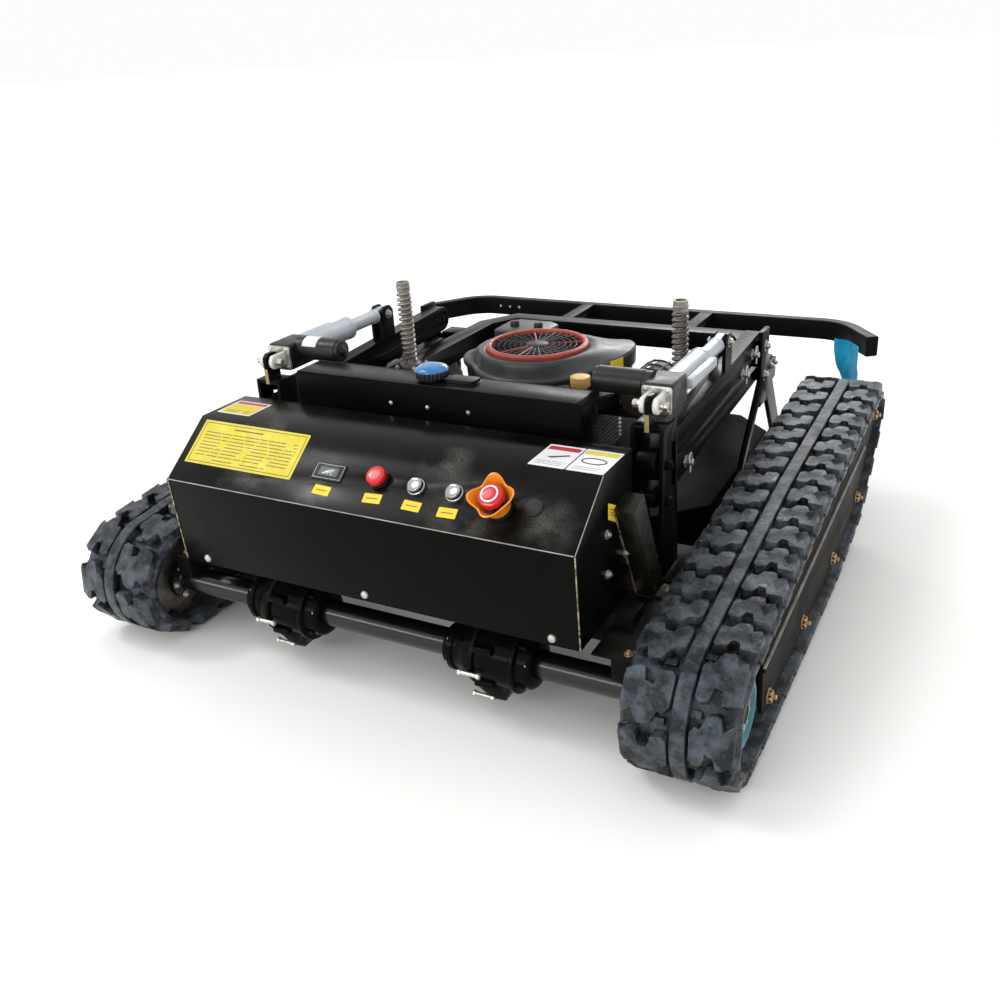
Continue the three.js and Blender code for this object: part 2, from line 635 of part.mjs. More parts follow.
function blowerHousing() {
  const [z0, z1] = ENGINE.housing;
  const centre = [CRANK.x, CRANK.y];
  const lobes = plate("z", [[-162, 500], [-150, 480], [120, 480], [172, 505], [176, 590], [150, 640],
    [60, 660], [-120, 660], [-162, 620]], [z0, 352]);
  const bowl = turned("z", centre, [[0, z0], [118, z0], [118, 350], [98, z1], [0, z1]], 28);
  const well = bar("z", centre, ENGINE.opening, [344, z1 + 1], 28);
  const bore = bar("z", centre, CRANK.bore, [z0 - 1, 350]);
  return cut(join(lobes, bowl), well, bore);
}

function fanGuard() {
  const centre = [CRANK.x, CRANK.y];
  const z = ENGINE.housing[1] + GAP;
  const ring = cut(bar("z", centre, ENGINE.ring, [z, z + 9.5], 28),
    bar("z", centre, ENGINE.ring - 11, [z - 1, z + 12], 28));
  const hub = bar("z", centre, 20, [z + 1, z + 5]);
  const spokes = [];
  for (let i = 0; i < 12; i += 1) {
    const geometry = new THREE.BoxGeometry(ENGINE.ring - 20, 3, 3);
    geometry.translate((ENGINE.ring + 4) / 2, 0, z + 3);
    geometry.rotateZ((i * Math.PI) / 6);
    geometry.translate(...centre, 0);
    spokes.push(solid(geometry));
  }
  return join(ring, hub, ...spokes);
}

function coolingFan() {
  const centre = [CRANK.x, CRANK.y];
  const blades = [];
  for (let i = 0; i < 10; i += 1) {
    const geometry = new THREE.BoxGeometry(44, 3, 18);
    geometry.translate(48, 0, 358);
    geometry.rotateZ((i * Math.PI) / 5);
    geometry.translate(...centre, 0);
    blades.push(solid(geometry));
  }
  return join(bar("z", centre, 72, [347, 350.5], 20), bar("z", centre, 28, [350, 370]), ...blades);
}

function mowerBlade() {
  const centre = [CRANK.x, CRANK.y];
  const blade = plate("z", [[-215, 490], [-120, 500], [120, 500], [215, 490], [215, 550], [120, 540],
    [-120, 540], [-215, 550]], [84, 90]);
  return join(blade, bar("z", centre, 26, [80, 98]));
}

function airCleaner() {
  const outline = [[-168, 661], [-60, 661], [-60, 735], [-80, 748], [-150, 748], [-168, 735]];
  return plate("z", outline, [289, 360]);
}

function muffler() {
  const can = bar("y", [208, 318], 30, [470, 600], 18);
  const elbow = bar("z", [200, 540], 12, [258, 305], 16);
  const pipe = bar("x", [540, 270], 12, [105 + GAP, 200], 16);
  return join(can, elbow, pipe);
}

function buildEngine() {
  const centre = [CRANK.x, CRANK.y];
  piece("engine_block", engineBlock(), STEEL);
  piece("blower_housing", blowerHousing(), PLASTIC);
  piece("fan_guard", fanGuard(), RED);
  piece("cooling_fan", coolingFan(), PLASTIC);
  piece("crankshaft", bar("z", centre, CRANK.shaft, [98 + GAP, 347 - GAP]), STEEL);
  piece("mower_blade", mowerBlade(), STEEL);
  piece("air_cleaner", airCleaner(), PLASTIC);
  piece("muffler", muffler(), BLACK);
  const capZ = [348 + GAP, 366];
  piece("oil_cap", bar("z", [OIL_CAP.x, OIL_CAP.y], OIL_CAP.radius, capZ), YELLOW);
}

// ---------------------------------------------------------------- the whole machine

buildTracks();
piece("axle_tube", axleTube(), BLACK);
for (const [name, side] of SIDES) {
  piece(`gear_motor_${name}`, gearHousing(side), BLACK);
  piece(`box_brace_${name}`, brace(side), BLACK);
}
piece("main_frame", mainFrame(), BLACK);
piece("control_box", controlBox(), BLACK);
piece("control_box_back", boxBack(), BLACK);
piece("battery", battery(), PLASTIC);
piece("fuel_tank", tank(), BLACK);
piece("fuel_cap", fuelCap(), BLUE);
buildControls();
buildLinkage();
buildDeck();
buildEngine();

const bounds = new THREE.Box3().setFromObject(machine);
machine.position.set(0, -(bounds.min.y + bounds.max.y) / 2, -bounds.min.z);

export default machine;
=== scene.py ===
"""Finish and detail of a tracked slope mower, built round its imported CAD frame.

Lengths are millimetres with y counted from the rear axle, until place() turns them into the row frame.
"""

import json
import math

import bmesh
import bpy
from mathutils import Matrix, Vector


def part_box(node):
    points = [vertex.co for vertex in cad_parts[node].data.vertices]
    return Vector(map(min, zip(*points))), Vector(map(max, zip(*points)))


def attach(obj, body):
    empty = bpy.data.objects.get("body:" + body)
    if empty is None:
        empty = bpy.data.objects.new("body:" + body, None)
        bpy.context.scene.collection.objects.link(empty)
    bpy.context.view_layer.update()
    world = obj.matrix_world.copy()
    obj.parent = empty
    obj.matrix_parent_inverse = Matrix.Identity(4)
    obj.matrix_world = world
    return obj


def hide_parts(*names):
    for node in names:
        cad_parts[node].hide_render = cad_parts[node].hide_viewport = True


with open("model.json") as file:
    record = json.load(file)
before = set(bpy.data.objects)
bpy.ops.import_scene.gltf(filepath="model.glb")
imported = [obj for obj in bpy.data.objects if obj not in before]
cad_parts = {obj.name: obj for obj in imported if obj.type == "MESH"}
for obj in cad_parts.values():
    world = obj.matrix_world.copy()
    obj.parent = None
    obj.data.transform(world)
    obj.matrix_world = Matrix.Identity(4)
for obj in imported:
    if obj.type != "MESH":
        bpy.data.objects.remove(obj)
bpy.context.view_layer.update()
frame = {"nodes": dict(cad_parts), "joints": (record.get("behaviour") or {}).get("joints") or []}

# ---------------------------------------------------------------- places and driving sizes

MM = 0.001
JOINTS = {joint["name"]: joint for joint in frame["joints"]}
AXLE = Vector(JOINTS["sprocket_left_turn"]["pos_m"])
SIDES = (("left", -1), ("right", 1))


def place(point):
    """A point in millimetres, with y counted from the rear axle, as a point of the row frame."""
    return Vector((point[0] * MM, point[1] * MM + AXLE.y, point[2] * MM))


def span(node, axis):
    """The lowest and highest coordinate of a CAD node along one axis, in millimetres."""
    low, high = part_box(node)
    shift = AXLE.y if axis == 1 else 0
    return (low[axis] - shift) / MM, (high[axis] - shift) / MM


def pivot(joint):
    """The y and z of a joint that turns about x."""
    point = JOINTS[joint]["pos_m"]
    return (point[1] - AXLE.y) / MM, point[2] / MM


TRACK = {"inner": 394.5, "outer": 544.5, "carcass": 12, "lug": 16, "pitch": 60}
BAND = (464.5, 484.5)
ROLL = 1.2  # radial clearance of a wheel inside its track
FREE_WHEELS = ("roller_1", "roller_2", "roller_3", "roller_4", "idler")
SKID = (400, 180, 30)  # y, z and radius of the bend in the upper run
WHEEL_X = (424, 522)
OUTER_PLATE = 534

PANEL_FOOT = (-57.3, 309.1)
PANEL_HEAD = (33.6, 378.1)
PANEL_ANGLE = math.atan2(PANEL_HEAD[1] - PANEL_FOOT[1], PANEL_HEAD[0] - PANEL_FOOT[0])
BOX_HALF = 332.3
BOX_TOP = 378.1

CRANK = (0, 520)
RING_Z = span("fan_guard", 2)[0]
FILLER = (-9, 188)
OIL_CAP = (125, 425)
POST = (268, 510)
ACTUATOR = {"x": 332, "z": 415, "rear": 201, "front": 523}
ARM_X = (318, 346)
LINK_FACE = 342
BRACKET_FACE = 356
LEG_FACE = 357.5
LINK_DROP = pivot("deck_lift")[1] - pivot("lower_link_swing")[1]


# ---------------------------------------------------------------- shapes

def axis_point(axis, u, v, w):
    """(u, v) in the plane across an axis and w along it, as x, y, z."""
    return {"x": (w, u, v), "y": (u, w, v), "z": (u, v, w)}[axis]


def around(centre, radius, angle):
    """The point at an angle in radians on a circle."""
    return centre[0] + radius * math.cos(angle), centre[1] + radius * math.sin(angle)


def arc(centre, radius, start, end, steps):
    """Points on an arc, with its angles in degrees."""
    degrees = [start + (end - start) * i / steps for i in range(steps + 1)]
    return [around(centre, radius, math.radians(angle)) for angle in degrees]


def circle(centre, radius, sides):
    return arc(centre, radius, 0, 360, sides)[:-1]


def angles(count):
    """Evenly spaced angles round a full turn."""
    return [2 * math.pi * k / count for k in range(count)]


def round_path(centre, radius, z, count):
    """A level ring of points."""
    return [(*around(centre, radius, a), z) for a in angles(count)]


def knurled(centre, outer, inner, teeth=24):
    """The outline of a round grip with square teeth."""
    tips, roots = (circle(centre, radius, 4 * teeth) for radius in (outer, inner))
    return [tips[i] if i % 4 < 2 else roots[i] for i in range(4 * teeth)]


def mirrored(side, *distances):
    """Distances from the middle plane, as x on one side and in rising order."""
    return sorted(side * distance for distance in distances)


def raised(profile, base):
    """A profile of [radius, distance] whose distances start at a base."""
    return [(radius, base + distance) for radius, distance in profile]


def rounded(u, v, radius, steps=4):
    """The outline of a rectangle with round corners."""
    outline = []
    corners = ((u[1], v[0], -90), (u[1], v[1], 0), (u[0], v[1], 90), (u[0], v[0], 180))
    for cu, cv, start in corners:
        centre = (cu - math.copysign(radius, cu - (u[0] + u[1]) / 2),
                  cv - math.copysign(radius, cv - (v[0] + v[1]) / 2))
        outline += arc(centre, radius, start, start + 90, steps)
    return outline


class Shape:
    """Closed surfaces that become one mesh."""

    def __init__(self):
        self.points = []
        self.faces = []

    def add(self, points, faces):
        start = len(self.points)
        self.points.extend(Vector(point) for point in points)
        self.faces.extend([start + index for index in face] for face in faces)
        return self

    def loft(self, rows, closed=False, capped=True):
        """Skins rows of points, each of them a closed outline of the same length."""
        count = len(rows[0])
        points = [point for row in rows for point in row]
        faces = []
        for r in range(len(rows) if closed else len(rows) - 1):
            a, b = r * count, (r + 1) % len(rows) * count
            for i in range(count):
                j = (i + 1) % count
                faces.append((a + i, a + j, b + j, b + i))
        if capped and not closed:
            faces.append(range(count - 1, -1, -1))
            faces.append(range(len(points) - count, len(points)))
        return self.add(points, faces)

    def prism(self, axis, outline, ends):
        return self.loft([[axis_point(axis, u, v, w) for u, v in outline] for w in sorted(ends)])

    def block(self, x, y, z):
        return self.prism("z", [(x[0], y[0]), (x[1], y[0]), (x[1], y[1]), (x[0], y[1])], z)

    def turned(self, axis, centre, profile, segments=48):
        """A lathe of [radius, distance], which starts and ends on the axis or closes on itself."""
        rows = []
        for radius, distance in profile:
            ring = circle(centre, radius, segments)
            rows.append([axis_point(axis, u, v, distance) for u, v in ring])
        open_ended = profile[0][0] == 0 and profile[-1][0] == 0
        return self.loft(rows, closed=not open_ended, capped=False)

    def rod(self, axis, centre, radius, ends, segments=24, chamfer=0.6):
        low, high = sorted(ends)
        profile = [(0, low), (radius - chamfer, low), (radius, low + chamfer),
                   (radius, high - chamfer), (radius - chamfer, high), (0, high)]
        return self.turned(axis, centre, profile, segments)

    def tube(self, path, radius, sides=10, closed=False):
        """A round bar along a path of points."""
        path = [Vector(point) for point in path]
        rows = []
        normal = None
        for i, point in enumerate(path):
            after = path[(i + 1) % len(path)] if closed or i + 1 < len(path) else point
            before = path[i - 1] if closed or i > 0 else point
            heading = (after - before).normalized()
            if normal is None:
                normal = heading.orthogonal().normalized()
            normal = (normal - heading * normal.dot(heading)).normalized()
            side = heading.cross(normal)
            rows.append([point + radius * (normal * math.cos(a) + side * math.sin(a))
                         for a in angles(sides)])
        return self.loft(rows, closed=closed)

    def moved(self, matrix):
        """This shape through a matrix."""
        other = Shape()
        return other.add([matrix @ point for point in self.points], self.faces)

    def join(self, *others):
        for other in others:
            self.add(other.points, other.faces)
        return self


def hexagon(axis, centre, across, ends, chamfer=0.8):
    """A bolt head or a nut."""
    radius = across / math.sqrt(3)
    low, high = sorted(ends)
    rows = [(radius - chamfer, low), (radius, low + chamfer),
            (radius, high - chamfer), (radius - chamfer, high)]
    return Shape().loft([[axis_point(axis, u, v, w) for u, v in circle(centre, r, 6)] for r, w in rows])


def bolt(axis, centre, base, outward, across=9.0, height=4.5):
    """A hexagon head on a washer, with the end of its thread."""
    shape = Shape()
    shape.rod(axis, centre, across * 0.78, (base, base + outward * 1.2), 24, 0.3)
    shape.join(hexagon(axis, centre, across, (base + outward * 1.2, base + outward * height)))
    shape.rod(axis, centre, across * 0.3, (base + outward * height, base + outward * (height + 2)), 12, 0.4)
    return shape


def screw_head(axis, centre, base, outward, radius=4.5):
    """A domed screw head."""
    profile = [(0, base), (radius, base), (radius, base + outward * 0.6),
               (radius * 0.8, base + outward * radius * 0.45),
               (radius * 0.4, base + outward * radius * 0.6), (0, base + outward * radius * 0.62)]
    return Shape().turned(axis, centre, profile, 20)


# ---------------------------------------------------------------- meshes

SHARP = math.radians(38)


def tidy_mesh(mesh, bevel, segments, flat):
    """Rounds the sharp edges of a mesh and shades it smooth between them."""
    work = bmesh.new()
    work.from_mesh(mesh)
    bmesh.ops.remove_doubles(work, verts=work.verts, dist=1e-6)
    if flat:
        bmesh.ops.dissolve_limit(work, angle_limit=0.01, verts=work.verts, edges=work.edges)
    bmesh.ops.recalc_face_normals(work, faces=work.faces)
    if bevel:
        edges = [e for e in work.edges if e.is_manifold and e.calc_face_angle(0) > SHARP]
        bmesh.ops.bevel(work, geom=edges, offset=bevel * MM, segments=segments, profile=0.5,
                        affect="EDGES", clamp_overlap=True)
    work.to_mesh(mesh)
    work.free()
    mesh.polygons.foreach_set("use_smooth", [True] * len(mesh.polygons))
    mesh.set_sharp_from_angle(angle=SHARP)
    mesh.update()


def finish_piece(name, mesh, material, body, nodes):
    piece = bpy.data.objects.new(name, mesh)
    bpy.context.scene.collection.objects.link(piece)
    piece.data.materials.clear()
    piece.data.materials.append(material)
    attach(piece, body)
    if nodes:
        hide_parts(*nodes)
    return piece


def build(name, shape, look, body, nodes=(), bevel=0.0, segments=2):
    """A new piece from a shape."""
    material, slot = look
    mesh = bpy.data.meshes.new(name)
    mesh.from_pydata([place(point) for point in shape.points], [], shape.faces)
    tidy_mesh(mesh, bevel, segments, False)
    return finish_piece(name, mesh, material, body, nodes)


def refined(node, look, body, bevel=1.0, segments=2):
    """A CAD node's own surface with its edges rounded."""
    material, slot = look
    mesh = frame["nodes"][node].data.copy()
    tidy_mesh(mesh, bevel, segments, True)
    return finish_piece(f"{node}_finished", mesh, material, body, (node,))


# ---------------------------------------------------------------- materials

class Nodes:
    """A small helper to write a node tree."""

    def __init__(self, name):
        self.material = bpy.data.materials.new(name)
        self.material.use_nodes = True
        self.tree = self.material.node_tree
        self.shader = self.tree.nodes["Principled BSDF"]
        self.coordinates = self.tree.nodes.new("ShaderNodeTexCoord").outputs["Object"]

    def link(self, output, target):
        self.tree.links.new(output, target)

    def noise(self, scale, detail=4.0, roughness=0.55, stretch=(1, 1, 1)):
        node = self.tree.nodes.new("ShaderNodeTexNoise")
        mapping = self.tree.nodes.new("ShaderNodeMapping")
        mapping.inputs["Scale"].default_value = stretch
        self.link(self.coordinates, mapping.inputs["Vector"])
        self.link(mapping.outputs["Vector"], node.inputs["Vector"])
        for key, value in (("Scale", scale), ("Detail", detail), ("Roughness", roughness)):
            node.inputs[key].default_value = value
        return node.outputs["Fac"]

    def between(self, value, low, high, out_low=0.0, out_high=1.0):
        node = self.tree.nodes.new("ShaderNodeMapRange")
        self.link(value, node.inputs["Value"])
        limits = (("From Min", low), ("From Max", high), ("To Min", out_low), ("To Max", out_high))
        for key, limit in limits:
            node.inputs[key].default_value = limit
        return node.outputs["Result"]

    def maths(self, operation, a, b):
        node = self.tree.nodes.new("ShaderNodeMath")
        node.operation = operation
        node.use_clamp = True
        self.link(a, node.inputs[0])
        self.link(b, node.inputs[1])
        return node.outputs[0]

    def times(self, a, b):
        return self.maths("MULTIPLY", a, b)

    def add(self, a, b):
        return self.maths("ADD", a, b)

    def mix(self, factor, a, b):
        """Colour a where the factor is 0 and b where it is 1. Each is a colour or an output."""
        node = self.tree.nodes.new("ShaderNodeMix")
        node.data_type = "RGBA"
        self.link(factor, node.inputs["Factor"])
        for socket, value in ((node.inputs[6], a), (node.inputs[7], b)):
            if isinstance(value, tuple):
                socket.default_value = (*value, 1)
            else:
                self.link(value, socket)
        return node.outputs[2]

    def edges(self, radius):
        """1 on convex and concave edges, 0 on flat faces."""
        bevel = self.tree.nodes.new("ShaderNodeBevel")
        bevel.samples = 4
        bevel.inputs["Radius"].default_value = radius
        geometry = self.tree.nodes.new("ShaderNodeNewGeometry")
        dot = self.tree.nodes.new("ShaderNodeVectorMath")
        dot.operation = "DOT_PRODUCT"
        self.link(bevel.outputs["Normal"], dot.inputs[0])
        self.link(geometry.outputs["Normal"], dot.inputs[1])
        return self.between(dot.outputs["Value"], 0.99, 0.9)

    def upward(self):
        """1 on faces that look up, 0 on the rest."""
        geometry = self.tree.nodes.new("ShaderNodeNewGeometry")
        parts = self.tree.nodes.new("ShaderNodeSeparateXYZ")
        self.link(geometry.outputs["Normal"], parts.inputs["Vector"])
        return self.between(parts.outputs["Z"], 0.5, 0.95)

    def bump(self, height, strength, distance=0.001):
        node = self.tree.nodes.new("ShaderNodeBump")
        node.inputs["Strength"].default_value = strength
        node.inputs["Distance"].default_value = distance
        self.link(height, node.inputs["Height"])
        self.link(node.outputs["Normal"], self.shader.inputs["Normal"])

    def set(self, **values):
        for key, value in values.items():
            socket = self.shader.inputs[key.replace("_", " ")]
            if isinstance(value, bpy.types.NodeSocket):
                self.link(value, socket)
            elif isinstance(value, tuple):
                socket.default_value = (*value, 1)
            else:
                socket.default_value = value


def painted_reflection_patches(n, patches):
    """Painted reflection: speckled pale clouds on the panel round the given places: x, distance up the
    slope, radius.
    """
    total = None
    for x, s, radius in patches:
        offset = n.tree.nodes.new("ShaderNodeVectorMath")
        offset.operation = "DISTANCE"
        n.link(n.coordinates, offset.inputs[0])
        offset.inputs[1].default_value = place((x, PANEL_FOOT[0] + s * math.cos(PANEL_ANGLE),
                                                PANEL_FOOT[1] + s * math.sin(PANEL_ANGLE)))
        near = n.between(offset.outputs["Value"], radius * MM, 0)
        total = near if total is None else n.add(total, near)
    cloudy_reflection = n.times(n.times(total, n.upward()), n.between(n.noise(26, 4, 0.5), 0.40, 0.62, 0.05, 1.0))
    return n.times(cloudy_reflection, n.between(n.noise(900, 2, 0.7), 0.42, 0.66, 0.1, 1.0))


def powder_coat(name, base, rough, dust_and_sheen, shine, painted_reflections=()):
    """Black powder coat: orange peel, fine dust with a painted brownish sheen on what looks up, painted
    reflection patches where they are given, and chips along the edges.
    """
    n = Nodes(name)
    clouds = n.noise(9, 5, 0.6)
    grains = n.between(n.noise(1500, 2), 0.64, 0.74)
    # Dust and painted sheen: faces that look up are mixed towards brown, which stands for both dust and the
    # brownish reflection on top faces.
    lying_dust_and_sheen = n.times(n.upward(), n.between(n.noise(14, 6, 0.65), 0.42, 0.75))
    dust_and_sheen_colour = n.mix(n.times(lying_dust_and_sheen, n.between(clouds, 0.2, 0.8, 0.0, dust_and_sheen)), base, (0.16, 0.14, 0.115))
    speckled = n.mix(n.times(grains, n.between(clouds, 0.45, 0.7, 0.0, 0.4)), dust_and_sheen_colour, (0.12, 0.11, 0.10))
    # Painted reflection: pale speckled patches mixed into the base colour of the panel.
    if painted_reflections:
        speckled = n.mix(painted_reflection_patches(n, painted_reflections), speckled, (0.20, 0.195, 0.18))
    worn = n.times(n.edges(0.0012), n.between(n.noise(55, 6, 0.7), 0.72, 0.74))
    n.set(Base_Color=n.mix(worn, speckled, (0.30, 0.25, 0.17)), Metallic=n.between(worn, 0, 1, 0, 0.7),
          Roughness=n.between(clouds, 0.3, 0.75, rough, rough + 0.22),
          Specular_IOR_Level=n.between(n.upward(), 0, 1, 0.05, shine))
    n.bump(n.noise(700, 2), 0.14, 0.0006)
    return n.material


def moulded(name, base, rough, mottle=0.25, grain=0.12, **sockets):
    """Moulded or painted stuff: slight mottling and a fine grain."""
    n = Nodes(name)
    darker = tuple(c * (1 - mottle) for c in base)
    lighter = tuple(min(1, c * (1 + mottle)) for c in base)
    clouds = n.noise(28, 5, 0.6)
    n.set(Base_Color=n.mix(n.between(clouds, 0.3, 0.7), darker, lighter),
          Roughness=n.between(n.noise(60, 4), 0.3, 0.7, rough * 0.8, rough * 1.25), **sockets)
    n.bump(n.noise(1100, 3), grain, 0.0005)
    return n.material


def label_paper(name, base, mottle):
    """Printed film with a low shine."""
    return moulded(name, base, 0.4, mottle, 0.02, Specular_IOR_Level=0.2)


def metal(name, base, rough, stain=(0.12, 0.07, 0.03), stained=0.3, stretch=(1, 1, 1)):
    """Bare or plated metal, brushed along the axis that is stretched least, with brown stains."""
    n = Nodes(name)
    dirt = n.between(n.noise(45, 6, 0.7), 0.75 - stained, 0.95 - stained * 0.6)
    brushed = n.noise(350, 3, 0.6, stretch)
    n.set(Base_Color=n.mix(dirt, n.mix(brushed, tuple(c * 0.78 for c in base), base), stain),
          Metallic=n.between(dirt, 0, 1, 1.0, 0.35),
          Roughness=n.between(brushed, 0.3, 0.7, rough * 0.75, rough * 1.4))
    n.bump(brushed, 0.1, 0.0004)
    return n.material


def track_rubber():
    """Dark rubber with a painted blue-grey sheen in patches, brown dirt in its hollows and scuffed edges."""
    n = Nodes("track_rubber")
    clouds = n.noise(30, 6, 0.65)
    fine = n.noise(140, 6, 0.7)
    # Painted sheen: blue-grey patches in the base colour stand for the bluish reflections on the rubber.
    painted_sheen = n.mix(n.between(clouds, 0.44, 0.62), (0.0040, 0.0040, 0.0042), (0.064, 0.076, 0.095))
    dirty = n.mix(n.between(n.noise(38, 7, 0.75), 0.54, 0.66, 0, 0.5), painted_sheen, (0.075, 0.066, 0.054))
    scuffed = n.mix(n.times(n.edges(0.0022), n.between(fine, 0.46, 0.6, 0, 0.5)), dirty, (0.19, 0.185, 0.18))
    n.set(Base_Color=scuffed, Roughness=n.between(n.noise(22, 5, 0.6), 0.35, 0.65, 0.22, 0.5),
          Specular_IOR_Level=0.34, Specular_Tint=(0.78, 0.89, 1.0))
    n.bump(n.times(fine, n.noise(24, 3)), 0.9, 0.004)
    return n.material


def chipped_edge():
    """A welded or cut edge where the paint is half gone."""
    n = Nodes("chipped_edge")
    gone = n.between(n.noise(130, 6, 0.75), 0.44, 0.56)
    n.set(Base_Color=n.mix(gone, (0.014, 0.013, 0.012), (0.50, 0.40, 0.26)),
          Metallic=n.between(gone, 0, 1, 0, 0.6), Roughness=0.42)
    n.bump(gone, 0.3, 0.0004)
    return n.material


# Places of the painted reflection patches on the sloping panel: x, distance up the slope, radius.
PANEL_PAINTED_REFLECTIONS = ((165, 20, 72), (112, 94, 46), (-205, 102, 44), (-190, 18, 56), (288, 34, 48), (-80, 14, 36))
GLOSS = (powder_coat("gloss_black", (0.0022, 0.0022, 0.0019), 0.16, 0.10, 0.09), "frame_black")
PANEL = (powder_coat("panel_black", (0.0022, 0.0022, 0.0019), 0.13, 0.05, 0.11, PANEL_PAINTED_REFLECTIONS), "frame_black")
SATIN = (powder_coat("satin_black", (0.0030, 0.0030, 0.0027), 0.26, 0.26, 0.14), "frame_black")
DUSTY_SHEEN = (powder_coat("dusty_sheen_black", (0.0042, 0.0042, 0.0036), 0.32, 0.30, 0.08), "frame_black")
PLATE = (powder_coat("plate_black", (0.0110, 0.0085, 0.0065), 0.40, 0.30, 0.10), "frame_black")
TUBE = (moulded("tube_black", (0.004, 0.004, 0.0045), 0.20, Specular_IOR_Level=0.45), "frame_black")
RUBBER = (track_rubber(), "track_rubber")
CHIPPED = (chipped_edge(), "frame_black")
OLIVE = (moulded("olive_sheen", (0.012, 0.011, 0.007), 0.28, 0.6, 0.2, Metallic=0.4), "frame_black")
# A pale line whose colour is a painted highlight along folds and edges.
PAINTED_HIGHLIGHT_LINE = (moulded("painted_highlight_line", (0.30, 0.295, 0.28), 0.35, 0.4, 0.2), "frame_black")
CASE = (moulded("case_black", (0.011, 0.011, 0.0105), 0.36, Specular_IOR_Level=0.3), "dark_plastic")
PLASTIC = (moulded("black_plastic", (0.012, 0.012, 0.0125), 0.42, Specular_IOR_Level=0.3), "dark_plastic")
COWL = (moulded("cowl_plastic", (0.022, 0.023, 0.026), 0.34, 0.2, 0.2), "blower_black")
SILVER = (moulded("silver_paint", (0.40, 0.44, 0.48), 0.36, 0.08, 0.06, Metallic=0.35), "actuator_silver")
ZINC = (metal("zinc_plate", (0.66, 0.66, 0.63), 0.34), "polished_steel")
POLISHED = (metal("polished_cap", (0.50, 0.51, 0.50), 0.24, stained=0.05), "polished_steel")
BRASS = (metal("rusty_brass", (0.80, 0.52, 0.30), 0.42, (0.30, 0.15, 0.07), 0.34), "wheel_steel")
STEEL = (metal("worn_steel", (0.30, 0.29, 0.28), 0.42, (0.10, 0.06, 0.035), 0.45), "wheel_steel")
PALE_SPRING = (metal("pale_spring", (0.46, 0.45, 0.41), 0.46, (0.14, 0.11, 0.08), 0.4), "spring_steel")
DARK_SPRING = (metal("dark_spring", (0.20, 0.20, 0.20), 0.42, (0.07, 0.05, 0.04), 0.45), "spring_steel")
TEAL = (moulded("teal_paint", (0.045, 0.20, 0.24), 0.4), "sprocket_teal")
PALE_WHEEL = (moulded("pale_casting", (0.42, 0.45, 0.46), 0.48, 0.2), "wheel_steel")
ALLOY = (metal("cast_alloy", (0.26, 0.26, 0.27), 0.5, (0.05, 0.04, 0.03), 0.45), "engine_alloy")
NYLON = (moulded("white_nylon", (0.66, 0.66, 0.60), 0.4, 0.08), "actuator_silver")
RED = (moulded("red_plastic", (0.52, 0.008, 0.014), 0.24, 0.1, 0.03, Coat_Weight=0.3), "red_plastic")
RED_RING = (moulded("red_ring", (0.30, 0.036, 0.024), 0.42, 0.3), "guard_red")
ORANGE = (moulded("orange_plastic", (0.74, 0.23, 0.008), 0.3, 0.1, 0.05), "orange_plastic")
BLUE = (moulded("blue_film", (0.006, 0.16, 0.44), 0.18, 0.3, 0.3, Coat_Weight=0.5), "blue_plastic")
TAPE = (moulded("tan_tape", (0.26, 0.21, 0.09), 0.35, 0.3), "wheel_steel")
FILM = (moulded("cyan_film", (0.012, 0.26, 0.46), 0.4, 0.35, 0.4, Specular_IOR_Level=0.2), "blue_plastic")
DECK = (powder_coat("deck_black", (0.0030, 0.0029, 0.0025), 0.50, 0.10, 0.03), "frame_black")
YELLOW_CAP = (moulded("yellow_cap", (0.62, 0.36, 0.12), 0.46, 0.12, 0.3), "yellow_plastic")
DUCT = (moulded("grey_duct", (0.19, 0.22, 0.27), 0.35, 0.15), "dark_plastic")
MUFFLER = (metal("muffler_steel", (0.10, 0.095, 0.09), 0.5, (0.09, 0.045, 0.02), 0.5), "muffler_steel")
YELLOW_LABEL = (label_paper("yellow_label", (0.59, 0.495, 0.031), 0.06), "yellow_plastic")
ORANGE_LABEL = (label_paper("orange_label", (0.74, 0.54, 0.030), 0.06), "yellow_plastic")
WHITE_LABEL = (label_paper("white_label", (0.70, 0.71, 0.74), 0.05), "actuator_silver")
RED_PRINT = (moulded("red_print", (0.44, 0.02, 0.035), 0.4, 0.1, 0.02), "red_plastic")
DARK_PRINT = (moulded("dark_print", (0.05, 0.045, 0.03), 0.5, 0.3, 0.02), "dark_plastic")
LCD = (moulded("lcd_window", (0.075, 0.095, 0.090), 0.12, 0.2, 0.02, Coat_Weight=1.0), "dark_plastic")


# ---------------------------------------------------------------- rubber tracks

def wheel_circle(name):
    """Centre and rolling radius of a wheel inside the track."""
    y, z = pivot(f"{name}_left_turn")
    low, high = span(f"{name}_left", 2)
    return y, z, (high - low) / 2 + ROLL


LOOP = [wheel_circle(name) for name in ("sprocket",) + FREE_WHEELS] + [SKID]


def loop_runs():
    """The inside of a track as arcs and straight runs: (y, z, radius, start angle, turn, length)."""
    normals = []
    for i, (y, z, radius) in enumerate(LOOP):
        next_y, next_z, next_radius = LOOP[(i + 1) % len(LOOP)]
        heading = math.atan2(next_z - z, next_y - y)
        lean = math.asin((radius - next_radius) / math.hypot(next_y - y, next_z - z))
        normals.append(heading - math.pi / 2 + lean)
    runs = []
    for i, (y, z, radius) in enumerate(LOOP):
        start = normals[i - 1]
        turn = (normals[i] - start) % (2 * math.pi)
        next_y, next_z, next_radius = LOOP[(i + 1) % len(LOOP)]
        straight = math.sqrt((next_y - y) ** 2 + (next_z - z) ** 2 - (radius - next_radius) ** 2)
        runs.append((y, z, radius, start, turn, radius * turn))
        runs.append((y, z, radius, normals[i], 0, straight))
    return runs


RUNS = loop_runs()
LOOP_LENGTH = sum(run[5] for run in RUNS)
LUGS = round((LOOP_LENGTH + math.pi * TRACK["carcass"]) / TRACK["pitch"])  # along the middle of the carcass


